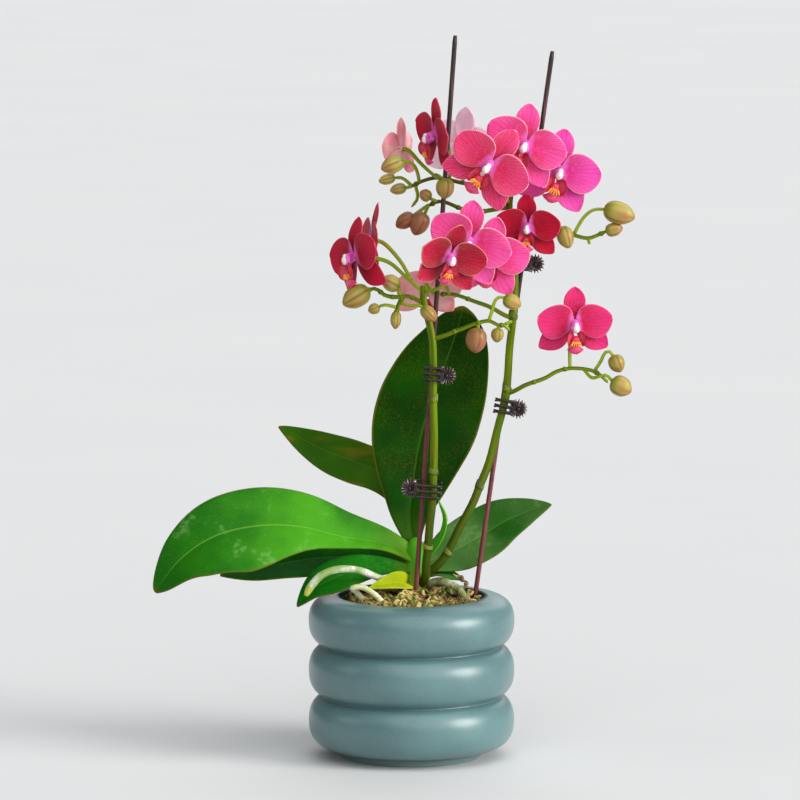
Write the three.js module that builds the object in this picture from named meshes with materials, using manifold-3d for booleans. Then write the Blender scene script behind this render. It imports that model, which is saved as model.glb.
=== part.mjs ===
// Potted moth orchid: two flower spikes tied to stakes, fourteen open blooms, buds,
// a fan of leaves, aerial roots and moss in a pot made of three stacked rings.
// Units are millimetres. +X is to the right, +Y away from the viewer, +Z up.
// The origin is the centre of the pot's foot, on the surface that the pot stands on.
import * as THREE from 'three';
import { mergeVertices } from 'three/addons/utils/BufferGeometryUtils.js';
import Module from 'manifold-3d';

// Pot: three stacked rings and a thick wall
const POT_SIDES = 24;
const RING_LEVELS = [21.1, 50.6, 80.1];
const RING_CENTRE_RADIUS = 45;
const RING_DEPTH = 15;
const RING_HALF_HEIGHT = 15.8;
const RIM_HALF_HEIGHT = 14;
const RING_ROUNDNESS = 2.4;
const RING_STEPS = 5;
const RING_START = -100;
const RING_END = 80;
const FOOT_RADIUS = 41.5;
const POT_FLOOR = 8;
const INNER_RADIUS_FLOOR = 40;
const INNER_RADIUS_TOP = 46.4;
const INNER_TOP = 91.5;
const RIM_ROLL = [0.8, 1.9];

// Moss over the bark that fills the pot
const GAP = 0.3;
const SEAT = 0.45;
const MOSS_CENTRE_HEIGHT = 97;
const MOSS_EDGE_HEIGHT = 91.2;
const MOSS_RINGS = [1, 0.8, 0.55, 0.28];
const MOSS_WAVE = { height: 1.6, drop: 0.4, alongX: 0.42, alongY: 0.47, inner: 1, outer: 41.8 };
const BARK_PIECES = 6;
const BARK_SEED = 11;
const BARK_RADIUS = [19, 31];
const BARK_SIZE = [3, 5.5];
const BARK_SHAPE = [1.2, 0.8, 0.55];
const BARK_SINK = 2.5;

// Short stem that the leaves grow from
const CROWN_CENTRE = [2, 6];
const CROWN_PROFILE = [[0, 84], [8, 84], [9, 104], [7.6, 115], [6, 122], [3.5, 126.5], [0, 127.5]];
const CROWN_SIDES = 10;

// Stakes
const STAKE_RADIUS = 1.4;
const STAKE_LINES = [
  [[-0.1, -5, 60], [25, -5, 420]],
  [[32.9, 14, 60], [81.4, 14, 410]],
];

// Flower spikes
const SPIKE_RADIUS_BASE = 2.3;
const SPIKE_RADIUS_TOP = 1.8;
const BRANCH_RADIUS = 1.3;
const PEDICEL_RADIUS = 1.05;
const PEDICEL_STRAIGHT = 4;
const BRANCH_TAPER = 0.2;
const TWIG_TAPER = 0.1;
const SHEATH_LENGTH = 6;
const SHEATH_PROUD = 0.7;
const SHEATH_TAPER = 0.3;
const BUD_OUTLINE = [[0, 0], [0.78, 0.16], [1, 0.5], [0.74, 0.84], [0, 1]];

// Bloom, at size 1
const TEPAL_THICKNESS = 0.8;
const HUB_RADIUS = 2.4;
const TEPAL_STEPS = 2;
const TEPAL_BASE_SHARE = 0.3;
const TEPAL_FULLNESS = 0.87;
const TEPAL_DISH = 0.05;
const TEPAL_SHOULDER = 0.2;
const DORSAL = { angle: 0, length: 23.4, halfWidth: 6.7, round: 0.8, lift: -0.6, bend: -1 };
const LATERAL = { angle: 132, length: 25.4, halfWidth: 7.3, round: 0.8, lift: -0.6, bend: -1.2 };
const PETAL = { angle: 79, length: 23.6, halfWidth: 10.9, round: 0.85, lift: 0.9, bend: 0.8 };
const HUB_REACH = [-2, 2.2];
const HUB_WIDEST = 0.45;
const LIP_MIDDLE = [[0, -0.6, 4], [0, -7.2, 6.4], [0, -15.6, 6.6]];
const LIP_EDGE = [[1.2, -0.4, 4.6], [6, -3.4, 9.4], [3.4, -14.2, 8]];
const LIP_ROUND = 1.3;
const COLUMN_PROFILE = [[0, 0], [1.4, 0.02], [1.8, 0.8], [0, 1]];
const COLUMN_REACH = [[0, 0, 2.5], [0, -0.4, 9]];

// Leaves
const LEAF_THICKNESS = 1.6;
const LEAF_THINNEST = 0.9;
const LEAF_THICKENING = 0.05;
const LEAF_TIP = 0.985;
const LEAF_SWEEP = 0.35;

// Claw clip
const CLIP_DISC_RADIUS = 5.5;
const CLIP_DISC_THICKNESS = 1.3;
const CLIP_SCALLOPS = 9;
const CLIP_SCALLOP_DEPTH = 0.8;
const CLIP_DISC_CENTRE = -2.6;
const CLIP_DISC_OFFSET = 3.6;
const CLIP_HALF_GAP = 5.5;
const CLIP_PRONG = 1.2;
const CLIP_PRONG_PITCH = 3.4;
const CLIP_HOOK = 2;
const CLIP_BACK = [-0.6, 1.4];
const CLIP_BACK_MARGIN = 0.7;
const CLIP_LUG = 1.7;
const CLIP_PIN_RADIUS = 0.6;
const CLIP_HOLE_RADIUS = 0.95;
const CLIP_HEIGHT = 9.2;
const CLIP_PRONG_SHIFT = 0.85;
const CLIP_FIXED_LUGS = [[-3.6, -2], [2, 3.6]];
const CLIP_MOVING_LUGS = [[-1.6, 1.6]];

const DEGREE = Math.PI / 180;

function coloured(color, roughness) {
  return new THREE.MeshStandardMaterial({ color, roughness, metalness: 0 });
}

const glaze = coloured('#6f9798', 0.5);
const mossy = coloured('#8a7d45', 0.95);
const crownGreen = coloured('#8fae3c', 0.5);
const leafGreen = coloured('#2f7a22', 0.35);
const sheathYellow = coloured('#b9b53c', 0.6);
const rootSilver = coloured('#b9c2a0', 0.7);
const stemGreen = coloured('#7c9136', 0.5);
const stakeBrown = coloured('#3a2024', 0.5);
const clipBrown = coloured('#3b2a30', 0.3);
const springSteel = coloured('#c9c6c4', 0.3);
const lipRed = coloured('#b01030', 0.5);

// Joins and cuts
const wasm = await Module();
wasm.setup();

function solid(geometry) {
  const bare = geometry.clone();
  bare.deleteAttribute('normal');
  bare.deleteAttribute('uv');
  const merged = mergeVertices(bare, 1e-4);
  const index = merged.index.array;
  const corners = [];
  for (let i = 0; i < index.length; i += 3) {
    const [a, b, c] = [index[i], index[i + 1], index[i + 2]];
    if (a !== b && b !== c && c !== a) {
      corners.push(a, b, c);
    }
  }
  return new wasm.Manifold(new wasm.Mesh({
    numProp: 3,
    vertProperties: new Float32Array(merged.attributes.position.array),
    triVerts: new Uint32Array(corners),
  }));
}

function surfaceOf(manifold) {
  const mesh = manifold.getMesh();
  const geometry = new THREE.BufferGeometry();
  geometry.setAttribute('position', new THREE.BufferAttribute(new Float32Array(mesh.vertProperties), 3));
  geometry.setIndex(new THREE.BufferAttribute(new Uint32Array(mesh.triVerts), 1));
  geometry.computeVertexNormals();
  return geometry;
}

function join(pieces) {
  return surfaceOf(pieces.map(solid).reduce((whole, piece) => whole.add(piece)));
}

function cut(body, tools) {
  return surfaceOf(tools.map(solid).reduce((rest, tool) => rest.subtract(tool), solid(body)));
}

function vector([x, y, z]) {
  return new THREE.Vector3(x, y, z);
}

// A thin body of even thickness round surface(t, s), where t runs across from -1 to 1
// and s runs along from 0 to 1. Both faces are split into triangles alike.
function sheet(surface, acrossSteps, alongSteps, thickness) {
  const plane = new THREE.PlaneGeometry(2, 1, acrossSteps, alongSteps);
  const grid = plane.attributes.position;
  const count = grid.count;
  const positions = new Float32Array(count * 6);
  const step = 0.01;
  for (let i = 0; i < count; i += 1) {
    const t = grid.getX(i);
    const s = grid.getY(i) + 0.5;
    const middle = surface(t, s);
    const overT = surface(Math.min(t + step, 1), s).sub(surface(Math.max(t - step, -1), s));
    const overS = surface(t, Math.min(s + step, 1)).sub(surface(t, Math.max(s - step, 0)));
    const half = overT.cross(overS).normalize().multiplyScalar(thickness / 2);
    middle.clone().add(half).toArray(positions, i * 3);
    middle.clone().sub(half).toArray(positions, (count + i) * 3);
  }
  const corners = [];
  const faces = plane.index.array;
  for (let i = 0; i < faces.length; i += 3) {
    corners.push(faces[i], faces[i + 1], faces[i + 2]);
    corners.push(count + faces[i], count + faces[i + 2], count + faces[i + 1]);
  }
  const rim = rimOf(acrossSteps, alongSteps);
  rim.forEach((a, i) => {
    const b = rim[(i + 1) % rim.length];
    corners.push(b, a, count + a);
    corners.push(b, count + a, count + b);
  });
  const geometry = new THREE.BufferGeometry();
  geometry.setAttribute('position', new THREE.BufferAttribute(positions, 3));
  geometry.setIndex(corners);
  return geometry;
}

// The vertices round a grid's edge, anticlockwise, for rows that start at the far end
function rimOf(acrossSteps, alongSteps) {
  const width = acrossSteps + 1;
  const rim = [];
  for (let i = 0; i < acrossSteps; i += 1) {
    rim.push(alongSteps * width + i);
  }
  for (let j = alongSteps; j > 0; j -= 1) {
    rim.push(j * width + acrossSteps);
  }
  for (let i = acrossSteps; i > 0; i -= 1) {
    rim.push(i);
  }
  for (let j = 0; j < alongSteps; j += 1) {
    rim.push(j * width);
  }
  return rim;
}

// A round bar bent along a smooth route, tapering from its first radius to its last
function tube(route, startRadius, endRadius, sides, steps) {
  const curve = new THREE.CatmullRomCurve3(route.map(vector));
  const frames = curve.computeFrenetFrames(steps, false);
  const geometry = new THREE.CylinderGeometry(1, 1, 1, sides, steps);
  const place = geometry.attributes.position;
  for (let i = 0; i < place.count; i += 1) {
    const s = Math.min(Math.max(place.getY(i) + 0.5, 0), 1);
    const row = Math.round(s * steps);
    const radius = startRadius + (endRadius - startRadius) * s;
    const point = curve.getPointAt(s);
    point.addScaledVector(frames.normals[row], radius * place.getX(i));
    point.addScaledVector(frames.binormals[row], -radius * place.getZ(i));
    place.setXYZ(i, point.x, point.y, point.z);
  }
  return geometry;
}

// The same route with each end moved outwards
function lengthened(route, extra) {
  const points = route.map(vector);
  const last = points.length - 1;
  const start = points[0].clone().sub(points[1]).setLength(extra);
  const end = points[last].clone().sub(points[last - 1]).setLength(extra);
  points[0].add(start);
  points[last].add(end);
  return points.map((point) => point.toArray());
}

// A turned shape standing on one point and reaching to another
function turned(profile, sides, from, to) {
  const start = vector(from);
  const reach = vector(to).sub(start);
  const points = profile.map(([radius, share]) => new THREE.Vector2(radius, share * reach.length()));
  const geometry = new THREE.LatheGeometry(points, sides);
  const turn = new THREE.Quaternion().setFromUnitVectors(new THREE.Vector3(0, 1, 0), reach.normalize());
  geometry.applyQuaternion(turn);
  return geometry.translate(start.x, start.y, start.z);
}

// A turned shape whose axis is vertical
function upright(profile, sides) {
  const geometry = new THREE.LatheGeometry(profile.map(([x, z]) => new THREE.Vector2(x, z)), sides);
  return geometry.rotateX(Math.PI / 2);
}

function between([low, high], share) {
  return low + (high - low) * share;
}

function seeded(seed) {
  let state = seed;
  return () => {
    state = (state * 1103515245 + 12345) % 2147483648;
    return state / 2147483648;
  };
}

// Pot
function ringPoint(ring, degrees) {
  const x = Math.cos(degrees * DEGREE);
  const z = Math.sin(degrees * DEGREE);
  const power = 2 / RING_ROUNDNESS;
  const halfHeight = ring === RING_LEVELS.length - 1 && z > 0 ? RIM_HALF_HEIGHT : RING_HALF_HEIGHT;
  return [
    RING_CENTRE_RADIUS + RING_DEPTH * Math.sign(x) * Math.abs(x) ** power,
    RING_LEVELS[ring] + halfHeight * Math.sign(z) * Math.abs(z) ** power,
  ];
}

function potBody() {
  const halfPitch = (RING_LEVELS[1] - RING_LEVELS[0]) / 2;
  const crease = Math.asin((halfPitch / RING_HALF_HEIGHT) ** (RING_ROUNDNESS / 2)) / DEGREE;
  const profile = [[0, 0], [FOOT_RADIUS, 0]];
  RING_LEVELS.forEach((_, ring) => {
    const first = ring === 0 ? RING_START : -crease;
    const last = ring === RING_LEVELS.length - 1 ? RING_END : crease;
    for (let i = ring === 0 ? 0 : 1; i <= RING_STEPS; i += 1) {
      profile.push(ringPoint(ring, first + (last - first) * i / RING_STEPS));
    }
  });
  profile.push([INNER_RADIUS_TOP + RIM_ROLL[0], INNER_TOP + RIM_ROLL[1]]);
  profile.push([INNER_RADIUS_TOP, INNER_TOP]);
  profile.push([INNER_RADIUS_FLOOR, POT_FLOOR]);
  profile.push([0, POT_FLOOR]);
  return upright(profile, POT_SIDES);
}

// Crown
function crownBody(extra) {
  const profile = CROWN_PROFILE.map(([radius, z], i) => {
    const outward = i < 2 ? -extra : extra;
    return [radius > 0 ? radius + extra : 0, i < 2 || radius === 0 ? z + outward : z];
  });
  return upright(profile, CROWN_SIDES).translate(CROWN_CENTRE[0], CROWN_CENTRE[1], 0);
}

// Leaves: each follows its midrib and is folded there. Each side has a half width, the
// share of the length where it is widest, and how pointed it is at the base and the tip.
// One side stands for both where they are alike.
const LEAVES = {
  leaf_a: {
    midrib: [[1, 4, 117], [-15, -2, 124.5], [-40, -8, 129.5], [-64, -12, 136], [-89, -15, 137],
      [-114.5, -17, 131], [-134, -18, 117.5], [-148.5, -18, 98.5]],
    across: [0, 0.55, 0.83], sides: [[29.5, 0.72, 1.4, 0.6], [21.5, 0.62, 0.75, 0.45]],
    base: 3.6, fold: 0.12, steps: [4, 8],
  },
  leaf_b: {
    midrib: [[1, 9, 109], [-21.5, 15, 113], [-44.5, 15, 114.5], [-71, 14, 111.5], [-94, 13, 106.5],
      [-112, 12, 104]],
    across: [0, 0.8, 0.6], sides: [[15, 0.55, 0.75, 0.75], [13, 0.55, 0.75, 0.75]],
    base: 3.6, fold: 0.12, steps: [4, 6],
  },
  leaf_c: {
    midrib: [[1.5, 7, 120], [-1, 13, 139.5], [0.5, 17, 154], [4.5, 22, 181], [10.5, 25, 201.5],
      [18, 26, 222.5], [25.5, 25, 244], [30.5, 22, 261]],
    across: [1, 0.15, 0.2], sides: [[30.5, 0.62, 0.8, 0.4]], base: 3.5, fold: 0.12, steps: [4, 8],
  },
  leaf_d: {
    midrib: [[-1, 11, 115.5], [-1, 22, 129], [-2.5, 30, 141], [-8.5, 35, 152.5], [-19.5, 38, 162],
      [-34, 40, 167.5], [-48, 41, 172.5], [-63, 42, 179.5], [-78, 42, 188]],
    across: [0.3, 0.65, 0.65], sides: [[16, 0.64, 0.75, 0.75], [13, 0.64, 0.75, 0.75]],
    base: 3.2, fold: 0.15, steps: [4, 6],
  },
  leaf_e: {
    midrib: [[4, 9, 110], [16.5, 18, 113.5], [28.5, 27, 118], [41.5, 33, 124.5], [56, 38, 132.5],
      [70, 40, 138], [82.5, 40, 142]],
    across: [0, -0.6, -0.75], sides: [[16, 0.55, 0.75, 0.75]], base: 3.2, fold: 0.15, steps: [4, 6],
  },
  leaf_f: {
    midrib: [[0, 2, 109], [-15.5, -6, 112], [-29, -10, 111], [-42.5, -13, 107], [-56, -15, 100.5],
      [-66.5, -16, 90]],
    across: [0.1, 0.6, 0.75], sides: [[10.5, 0.68, 0.75, 0.75]], base: 2.6, fold: 0.2, steps: [2, 6],
  },
  leaf_g: {
    midrib: [[6, 10, 102.5], [15.5, 15, 104.5], [24, 19.5, 102.5], [31, 23, 99.5]],
    across: [-0.2, -0.9, -0.2], sides: [[6, 0.55, 0.75, 0.75]], base: 2.4, fold: 0.2, steps: [2, 4],
  },
  leaf_young: {
    midrib: [[4, 9, 110], [9, 9, 117], [14, 8, 123.5], [18, 7, 132], [19, 6, 139], [16, 6, 149]],
    across: [0, 1, 0], sides: [[3, 0.5, 0.75, 0.75]], base: 1.2, fold: 0.8, steps: [2, 6],
  },
  old_sheath: {
    midrib: [[-1.5, 1, 101], [-5, -9, 103], [-11, -17, 104], [-18, -23, 103.5], [-25, -27, 102.5]],
    across: [-0.3, 0.5, 0.8], sides: [[4.6, 0.45, 0.75, 0.75]], base: 2.2, fold: 0.3, steps: [2, 4],
  },
};

// The width of one side of a leaf at a share of its length
function leafWidth([halfWidth, widest, atBase, atTip], base, s) {
  const power = Math.log(0.5) / Math.log(widest);
  const pointed = atBase + (atTip - atBase) * s;
  const swell = Math.sin(Math.PI * Math.min(s, LEAF_TIP) ** power) ** pointed;
  return base * (1 - s) + halfWidth * swell;
}

function leafBody({ midrib, across, sides, base, fold, steps }) {
  const curve = new THREE.CatmullRomCurve3(midrib.map(vector));
  const surface = (t, s) => {
    const tangent = curve.getTangentAt(s);
    const side = vector(across).addScaledVector(tangent, -vector(across).dot(tangent)).normalize();
    const face = side.clone().cross(tangent);
    const width = leafWidth(t < 0 ? sides[0] : sides[sides.length - 1], base, s);
    const point = curve.getPointAt(s);
    point.addScaledVector(side, t * width);
    point.addScaledVector(tangent, -LEAF_SWEEP * width * t * t * s);
    point.addScaledVector(face, fold * width * Math.abs(t));
    return point;
  };
  const thickness = Math.min(LEAF_THICKNESS, LEAF_THINNEST + LEAF_THICKENING * sides[0][0]);
  return sheet(surface, steps[0], steps[1], thickness);
}

// Roots that leave the crown and lie over the moss
const ROOTS = {
  root_silver: {
    route: [[0, 5, 100], [-10, -5.5, 102], [-19, -17.5, 107], [-31, -24, 112.5], [-42.5, -27.5, 113.5],
      [-51.5, -29, 110.5], [-58, -30, 104], [-61, -30, 98.5]],
    radius: [2, 1.7], steps: 10,
  },
  root_loop: {
    route: [[-15, -27, 92], [-22, -28.5, 99.5], [-29, -30, 103.5], [-34, -30.5, 103], [-32, -26, 100],
      [-27, -21, 93]],
    radius: [1.7, 1.5], steps: 10,
  },
  root_mossy: {
    route: [[8, 6, 98], [15, -2, 102.5], [21, -8, 102.5], [28, -13, 99], [32.5, -15, 92]],
    radius: [2.4, 2], steps: 8,
  },
};

function rootBody({ route, radius, steps }, extra) {
  return tube(lengthened(route, extra), radius[0] + extra, radius[1] + extra, 5, steps);
}

// Blooms: where each one's centre is, how far it is turned to the right (yaw), nods and
// rolls clockwise, its size, how far its tepals cup forward, and its pedicel's route.
// Some also have a turned dorsal sepal, lateral sepals at their own angle, or sepals
// that bend back.
const BLOOMS = [
  { at: [44.3, -24, 346.8], yaw: -8, nod: 6, roll: 38, size: 1.06, cup: 0, lateral: 130,
    pedicel: [[56.5, 9, 322], [50, -6, 338]] },
  { at: [65.2, -9, 356.9], yaw: -5, nod: 0, roll: 22, size: 1.03, cup: 0, dorsal: -16, lateral: 133,
    pedicel: [[58, 8, 331], [57, 5, 345], [58.5, 0, 353.5]] },
  { at: [85, 5, 341.2], yaw: 5, nod: 4, roll: 18, size: 1.05, cup: 0, dorsal: -10, lateral: 135,
    pedicel: [[58, 8, 331], [70, 9.5, 336]] },
  { at: [67.2, 1, 309], yaw: -8, nod: 4, roll: 3, size: 0.82, cup: 2, dorsal: -6,
    pedicel: [[59, 9.5, 300]] },
  { at: [33, -22, 302.2], yaw: -4, nod: 8, roll: 25, size: 1.05, cup: 0, dorsal: -19, lateral: 130,
    pedicel: [[22, 2, 270], [19, -8, 280], [20, -17, 291]] },
  { at: [21.3, -40, 295.3], yaw: 20, nod: 12, roll: 13, size: 0.88, cup: 6,
    pedicel: [[7, -9.5, 273], [15, -16, 275], [20, -26, 282]] },
  { at: [44.5, -7, 292.5], yaw: 2, nod: 4, roll: 8, size: 1, cup: 0, dorsal: 4, lateral: 142,
    pedicel: [[60, 9.5, 275], [55, 4, 278]] },
  { at: [-32.3, -12, 292.5], yaw: -55, nod: 0, roll: -12, size: 1, cup: 0, reflex: 4,
    pedicel: [[7, -9.5, 272], [-2, -10, 280], [-14, -8, 290]] },
  { at: [-23, 14, 300], yaw: -78, nod: -5, roll: 3, size: 0.95, cup: 0,
    pedicel: [[0, -10, 279], [-7, 1, 290]] },
  { at: [-6.4, 12, 353.4], yaw: -118, nod: 0, roll: 0, size: 0.78, cup: 1,
    pedicel: [[14.5, 3, 337.5], [6, 4, 345]] },
  { at: [14.2, -2, 362], yaw: -66, nod: 5, roll: 8, size: 0.95, cup: 1,
    pedicel: [[22, 3, 336], [22, 2, 348]] },
  { at: [29, 26, 355], yaw: 150, nod: 0, roll: -12, size: 0.95, cup: 0,
    pedicel: [[29.5, 3, 334.5], [30, 10, 345]] },
  { at: [94.3, 0, 252.5], yaw: 8, nod: 5, roll: 0, size: 0.94, cup: 0, lateral: 124,
    pedicel: [[92, 5, 226.5], [92, 8, 238]] },
  { at: [9.5, 12, 273], yaw: 170, nod: 30, roll: 0, size: 0.85, cup: 1,
    pedicel: [[17, 2, 270], [12, 3, 271]] },
];
const DARK_BLOOMS = [4, 6, 8, 9, 11];

function facing({ yaw, nod, roll }) {
  const turn = new THREE.Quaternion().setFromAxisAngle(new THREE.Vector3(0, 0, 1), yaw * DEGREE);
  const lean = new THREE.Quaternion().setFromAxisAngle(new THREE.Vector3(1, 0, 0), (90 + nod) * DEGREE);
  const spin = new THREE.Quaternion().setFromAxisAngle(new THREE.Vector3(0, 0, 1), -roll * DEGREE);
  return turn.multiply(lean).multiply(spin);
}

// One tepal in the bloom's own frame: x right, y up, z towards the viewer
function tepal({ angle, length, halfWidth, round, lift, bend }) {
  const [sine, cosine] = [Math.sin(angle * DEGREE), Math.cos(angle * DEGREE)];
  const surface = (t, s) => {
    const swell = Math.sin(Math.PI * (TEPAL_FULLNESS * s) ** round);
    const width = halfWidth * (TEPAL_BASE_SHARE + (1 - TEPAL_BASE_SHARE) * swell);
    const reach = 1 + (length - 1) * (s - TEPAL_SHOULDER * t * t * s * s);
    const side = t * width;
    const rise = lift + bend * s * s + TEPAL_DISH * width * t * t;
    return new THREE.Vector3(reach * sine + side * cosine, reach * cosine - side * sine, rise);
  };
  return sheet(surface, TEPAL_STEPS, TEPAL_STEPS, TEPAL_THICKNESS);
}

function tepals({ size, cup, dorsal = DORSAL.angle, lateral = LATERAL.angle, reflex = 0 }) {
  const sides = [-1, 1];
  const hub = turned([[0, 0], [HUB_RADIUS, HUB_WIDEST], [0, 1]], 5, ...HUB_REACH.map((z) => [0, 0, z]));
  const placed = (kind, angle, back = 0) => tepal({ ...kind, angle, bend: kind.bend + cup - back });
  const pieces = [
    hub,
    placed(DORSAL, dorsal, reflex),
    ...sides.map((sign) => placed(LATERAL, sign * lateral, reflex)),
    ...sides.map((sign) => placed(PETAL, sign * PETAL.angle)),
  ];
  return join(pieces).scale(size, size, size);
}

// The lip and the column above it. The middle lobe points down and forward, and the
// side lobes stand up at its edges.
function lip({ size }) {
  const middle = new THREE.CatmullRomCurve3(LIP_MIDDLE.map(vector));
  const edge = new THREE.CatmullRomCurve3(LIP_EDGE.map(vector));
  const lobes = sheet((t, s) => {
    const point = middle.getPoint(s).lerp(edge.getPoint(s), Math.abs(t) ** LIP_ROUND);
    point.x *= -Math.sign(t);
    return point;
  }, 4, 2, TEPAL_THICKNESS);
  const column = turned(COLUMN_PROFILE, 5, ...COLUMN_REACH);
  return join([column, lobes]).scale(size, size, size);
}

// The pedicel runs from its branch to just behind the bloom's hub
function pedicelBody({ at, yaw, nod, roll, size, pedicel }) {
  const turn = facing({ yaw, nod, roll });
  const behind = (distance) => new THREE.Vector3(0, 0, -distance).applyQuaternion(turn).add(vector(at)).toArray();
  const end = -HUB_REACH[0] * size + GAP;
  const route = [...pedicel, behind(end + PEDICEL_STRAIGHT), behind(end)];
  return tube(route, PEDICEL_RADIUS, PEDICEL_RADIUS, 4, 4);
}

// Spikes, branches and buds. Each branch lists its route, its first and last radius, its
// sides and its steps. Each bud lists its base, its tip and its widest radius.
const SPIKES = {
  spike_1: {
    stem: [[4, 5, 98], [8, -3, 105], [8.5, -6, 113], [9.5, -7.5, 122.5], [10.5, -8.5, 136], [12, -9, 149.5],
      [12.5, -9, 162], [13, -9.5, 190], [12.5, -9.5, 209.5], [12.5, -9.5, 234.5], [12, -9.5, 244.5],
      [10, -9.5, 255], [7, -9.5, 266.5], [7, -9.5, 276]],
    steps: 13,
    sheaths: [[10, -7.8, 124], [12.5, -9, 168.5], [12.7, -9.5, 211]],
    branches: [
      { route: [[12, -9.5, 245], [19.5, -10.5, 247.5], [27, -11, 250.5], [44.5, -12, 256], [50, -12, 253.5],
        [55, -12, 254]], steps: 6 },
      { route: [[7, -9.5, 266], [0, -11, 269.5], [-4, -13, 270.5], [-7.5, -14, 266], [-9, -15, 260]],
        steps: 6 },
      { route: [[-4, -13, 270.5], [-9.5, -14, 270], [-15, -15, 271], [-21, -16, 275], [-26, -17, 274]],
        steps: 5 },
    ],
    twigs: [
      [[44.5, -12, 256], [46.5, -12, 262], [48, -12, 267.5], [51, -12, 270], [55, -12, 268.5]],
      [[38.5, -12, 254], [38, -12.5, 250]],
      [[50, -12, 253.5], [50, -12.5, 250]],
      [[54, -12, 254], [58, -12, 256]],
      [[53, -12, 254], [56.5, -12, 250.5]],
      [[-6, -13, 269], [-7.5, -14, 277]],
      [[-8.5, -14, 264], [-15.5, -15, 265.5], [-20, -15, 264]],
      [[-6, -14, 266.5], [0, -15.5, 265], [4, -16.5, 265.5], [8, -17, 263.5]],
    ],
    buds: [
      { base: [53, -12, 269.5], tip: [63, -12, 264.5], radius: 4.6 },
      { base: [38, -12.5, 252], tip: [36.5, -14, 237.5], radius: 6.2 },
      { base: [50, -12.5, 252], tip: [49, -13, 243.5], radius: 3.8 },
      { base: [-8.7, -15, 262], tip: [-9.5, -15, 251.5], radius: 3.2 },
      { base: [-24.5, -17, 275], tip: [-39.5, -20, 266], radius: 6.4 },
      { base: [-7, -14, 275.5], tip: [-17, -15.5, 281], radius: 4.9 },
      { base: [-18.5, -15, 264.5], tip: [-25, -16, 262], radius: 3.2 },
      { base: [6, -17, 264.5], tip: [14, -18, 256.5], radius: 4 },
    ],
    blooms: [6, 8, 9],
  },
  spike_2: {
    stem: [[5, 6, 104], [14.5, 4, 110.5], [20, 4, 117], [27.5, 4.5, 132], [36, 6, 148], [40, 7, 158],
      [45, 8, 170.5], [50.5, 9, 192], [55, 9.5, 210], [56, 9.5, 221.5], [57, 9.5, 238], [59, 9.5, 256.5],
      [60, 9.5, 274.5], [59, 9.5, 298], [56.5, 9.5, 321], [58, 8, 333]],
    steps: 15,
    sheaths: [[21, 4, 119], [40, 7, 158], [55.4, 9.5, 214.5], [59, 9.5, 257]],
    branches: [
      { route: [[59, 9.5, 255], [53.5, 8, 257.5], [46, 6, 262], [37, 4, 265.5], [24, 2, 270],
        [15, 2, 270]], steps: 6 },
      { route: [[55, 9.5, 211], [60, 8, 213], [66, 6, 216.5], [78, 5, 221], [84, 5, 224.5], [92, 5, 226.5],
        [104.5, 3, 225.5], [111, 2, 222]], steps: 8 },
      { route: [[59, 9.5, 302], [68.5, 10, 305], [79, 8, 306], [89, 5, 305.5], [102, 3, 302.5], [109, 2, 305],
        [113, 1, 307]], steps: 7 },
      { route: [[58, 8, 331], [51, 6, 331.5], [40.5, 4, 333], [29.5, 3, 334.5], [14.5, 3, 337.5], [6, 3, 335.5],
        [-1, 3, 332]], steps: 7 },
      { route: [[56.5, 9.5, 320], [45.5, 6, 318.5], [36.5, 3, 317.5], [28, 2, 320], [16.5, 2, 324],
        [9, 2, 321]], steps: 6 },
    ],
    twigs: [
      [[106, 3, 225], [110, 2, 231.5], [112, 1, 236], [114.5, 0, 237], [118, -1, 233]],
      [[100, 4, 226], [104.5, 0, 221.5], [108, -3, 222.5], [113, -5, 223.5], [117, -6, 219]],
      [[110, 2, 222.5], [114, 2, 218.5]],
      [[89, 5, 305.5], [87, 2.5, 309]],
      [[94, 4, 305], [99.5, 3, 314.5], [105, 2, 319], [112.5, 1, 319.5]],
      [[102, 3, 302.5], [103, 3, 299]],
      [[4.5, 3, 335], [3, -4, 342], [0, -10, 347], [-6, -13, 348.5]],
      [[0, 3, 333], [-5.5, 2, 337.5], [-11, 1, 337.5]],
      [[2, 3, 334], [3.5, 3, 326], [0, 3, 320.5]],
      [[14.5, 2, 324], [10, 0, 326]],
      [[15, 3, 337], [13.5, -4, 339.5], [15, -11, 340], [19.5, -13, 337]],
      [[10, 2, 322], [7, 1, 315.5]],
      [[10, 2, 322], [0, 3, 315]],
      [[0, 3, 332.5], [-4, 3, 331.5]],
    ],
    buds: [
      { base: [117, -1, 235], tip: [121, -2, 225], radius: 4.9 },
      { base: [115.5, -6, 220.5], tip: [127, -8, 214], radius: 6 },
      { base: [87, 2.5, 309.5], tip: [91, -1, 297], radius: 5 },
      { base: [112, 1, 306.5], tip: [122, 0, 309], radius: 4 },
      { base: [111, 1, 320], tip: [129, -1, 314.5], radius: 6.6 },
      { base: [-4.5, -13, 349], tip: [-17.5, -14, 343.5], radius: 5 },
      { base: [-9.5, 1, 338], tip: [-19, 0, 335.5], radius: 3.1 },
      { base: [11, 0, 325.5], tip: [5, -1, 330], radius: 3.6 },
      { base: [19.5, -13, 338.5], tip: [19, -13, 326.5], radius: 5.4 },
      { base: [7.5, 1, 317.5], tip: [1.5, 0, 304.5], radius: 5.6 },
      { base: [1.5, 3, 316], tip: [-9, 4, 309], radius: 4.6 },
      { base: [-3, 3, 332], tip: [-12.5, 3, 330], radius: 3.3 },
    ],
    blooms: [1, 2, 3, 4, 5, 7, 10, 11, 12, 13, 14],
  },
};

function budBody({ base, tip, radius }) {
  return turned(BUD_OUTLINE.map(([width, share]) => [width * radius, share]), 5, base, tip);
}

function sheathBody([x, y, z], radius) {
  const route = [-1, 1].map((end) => [x, y, z + end * SHEATH_LENGTH / 2]);
  return tube(route, radius, radius - SHEATH_TAPER, 4, 1);
}

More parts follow.
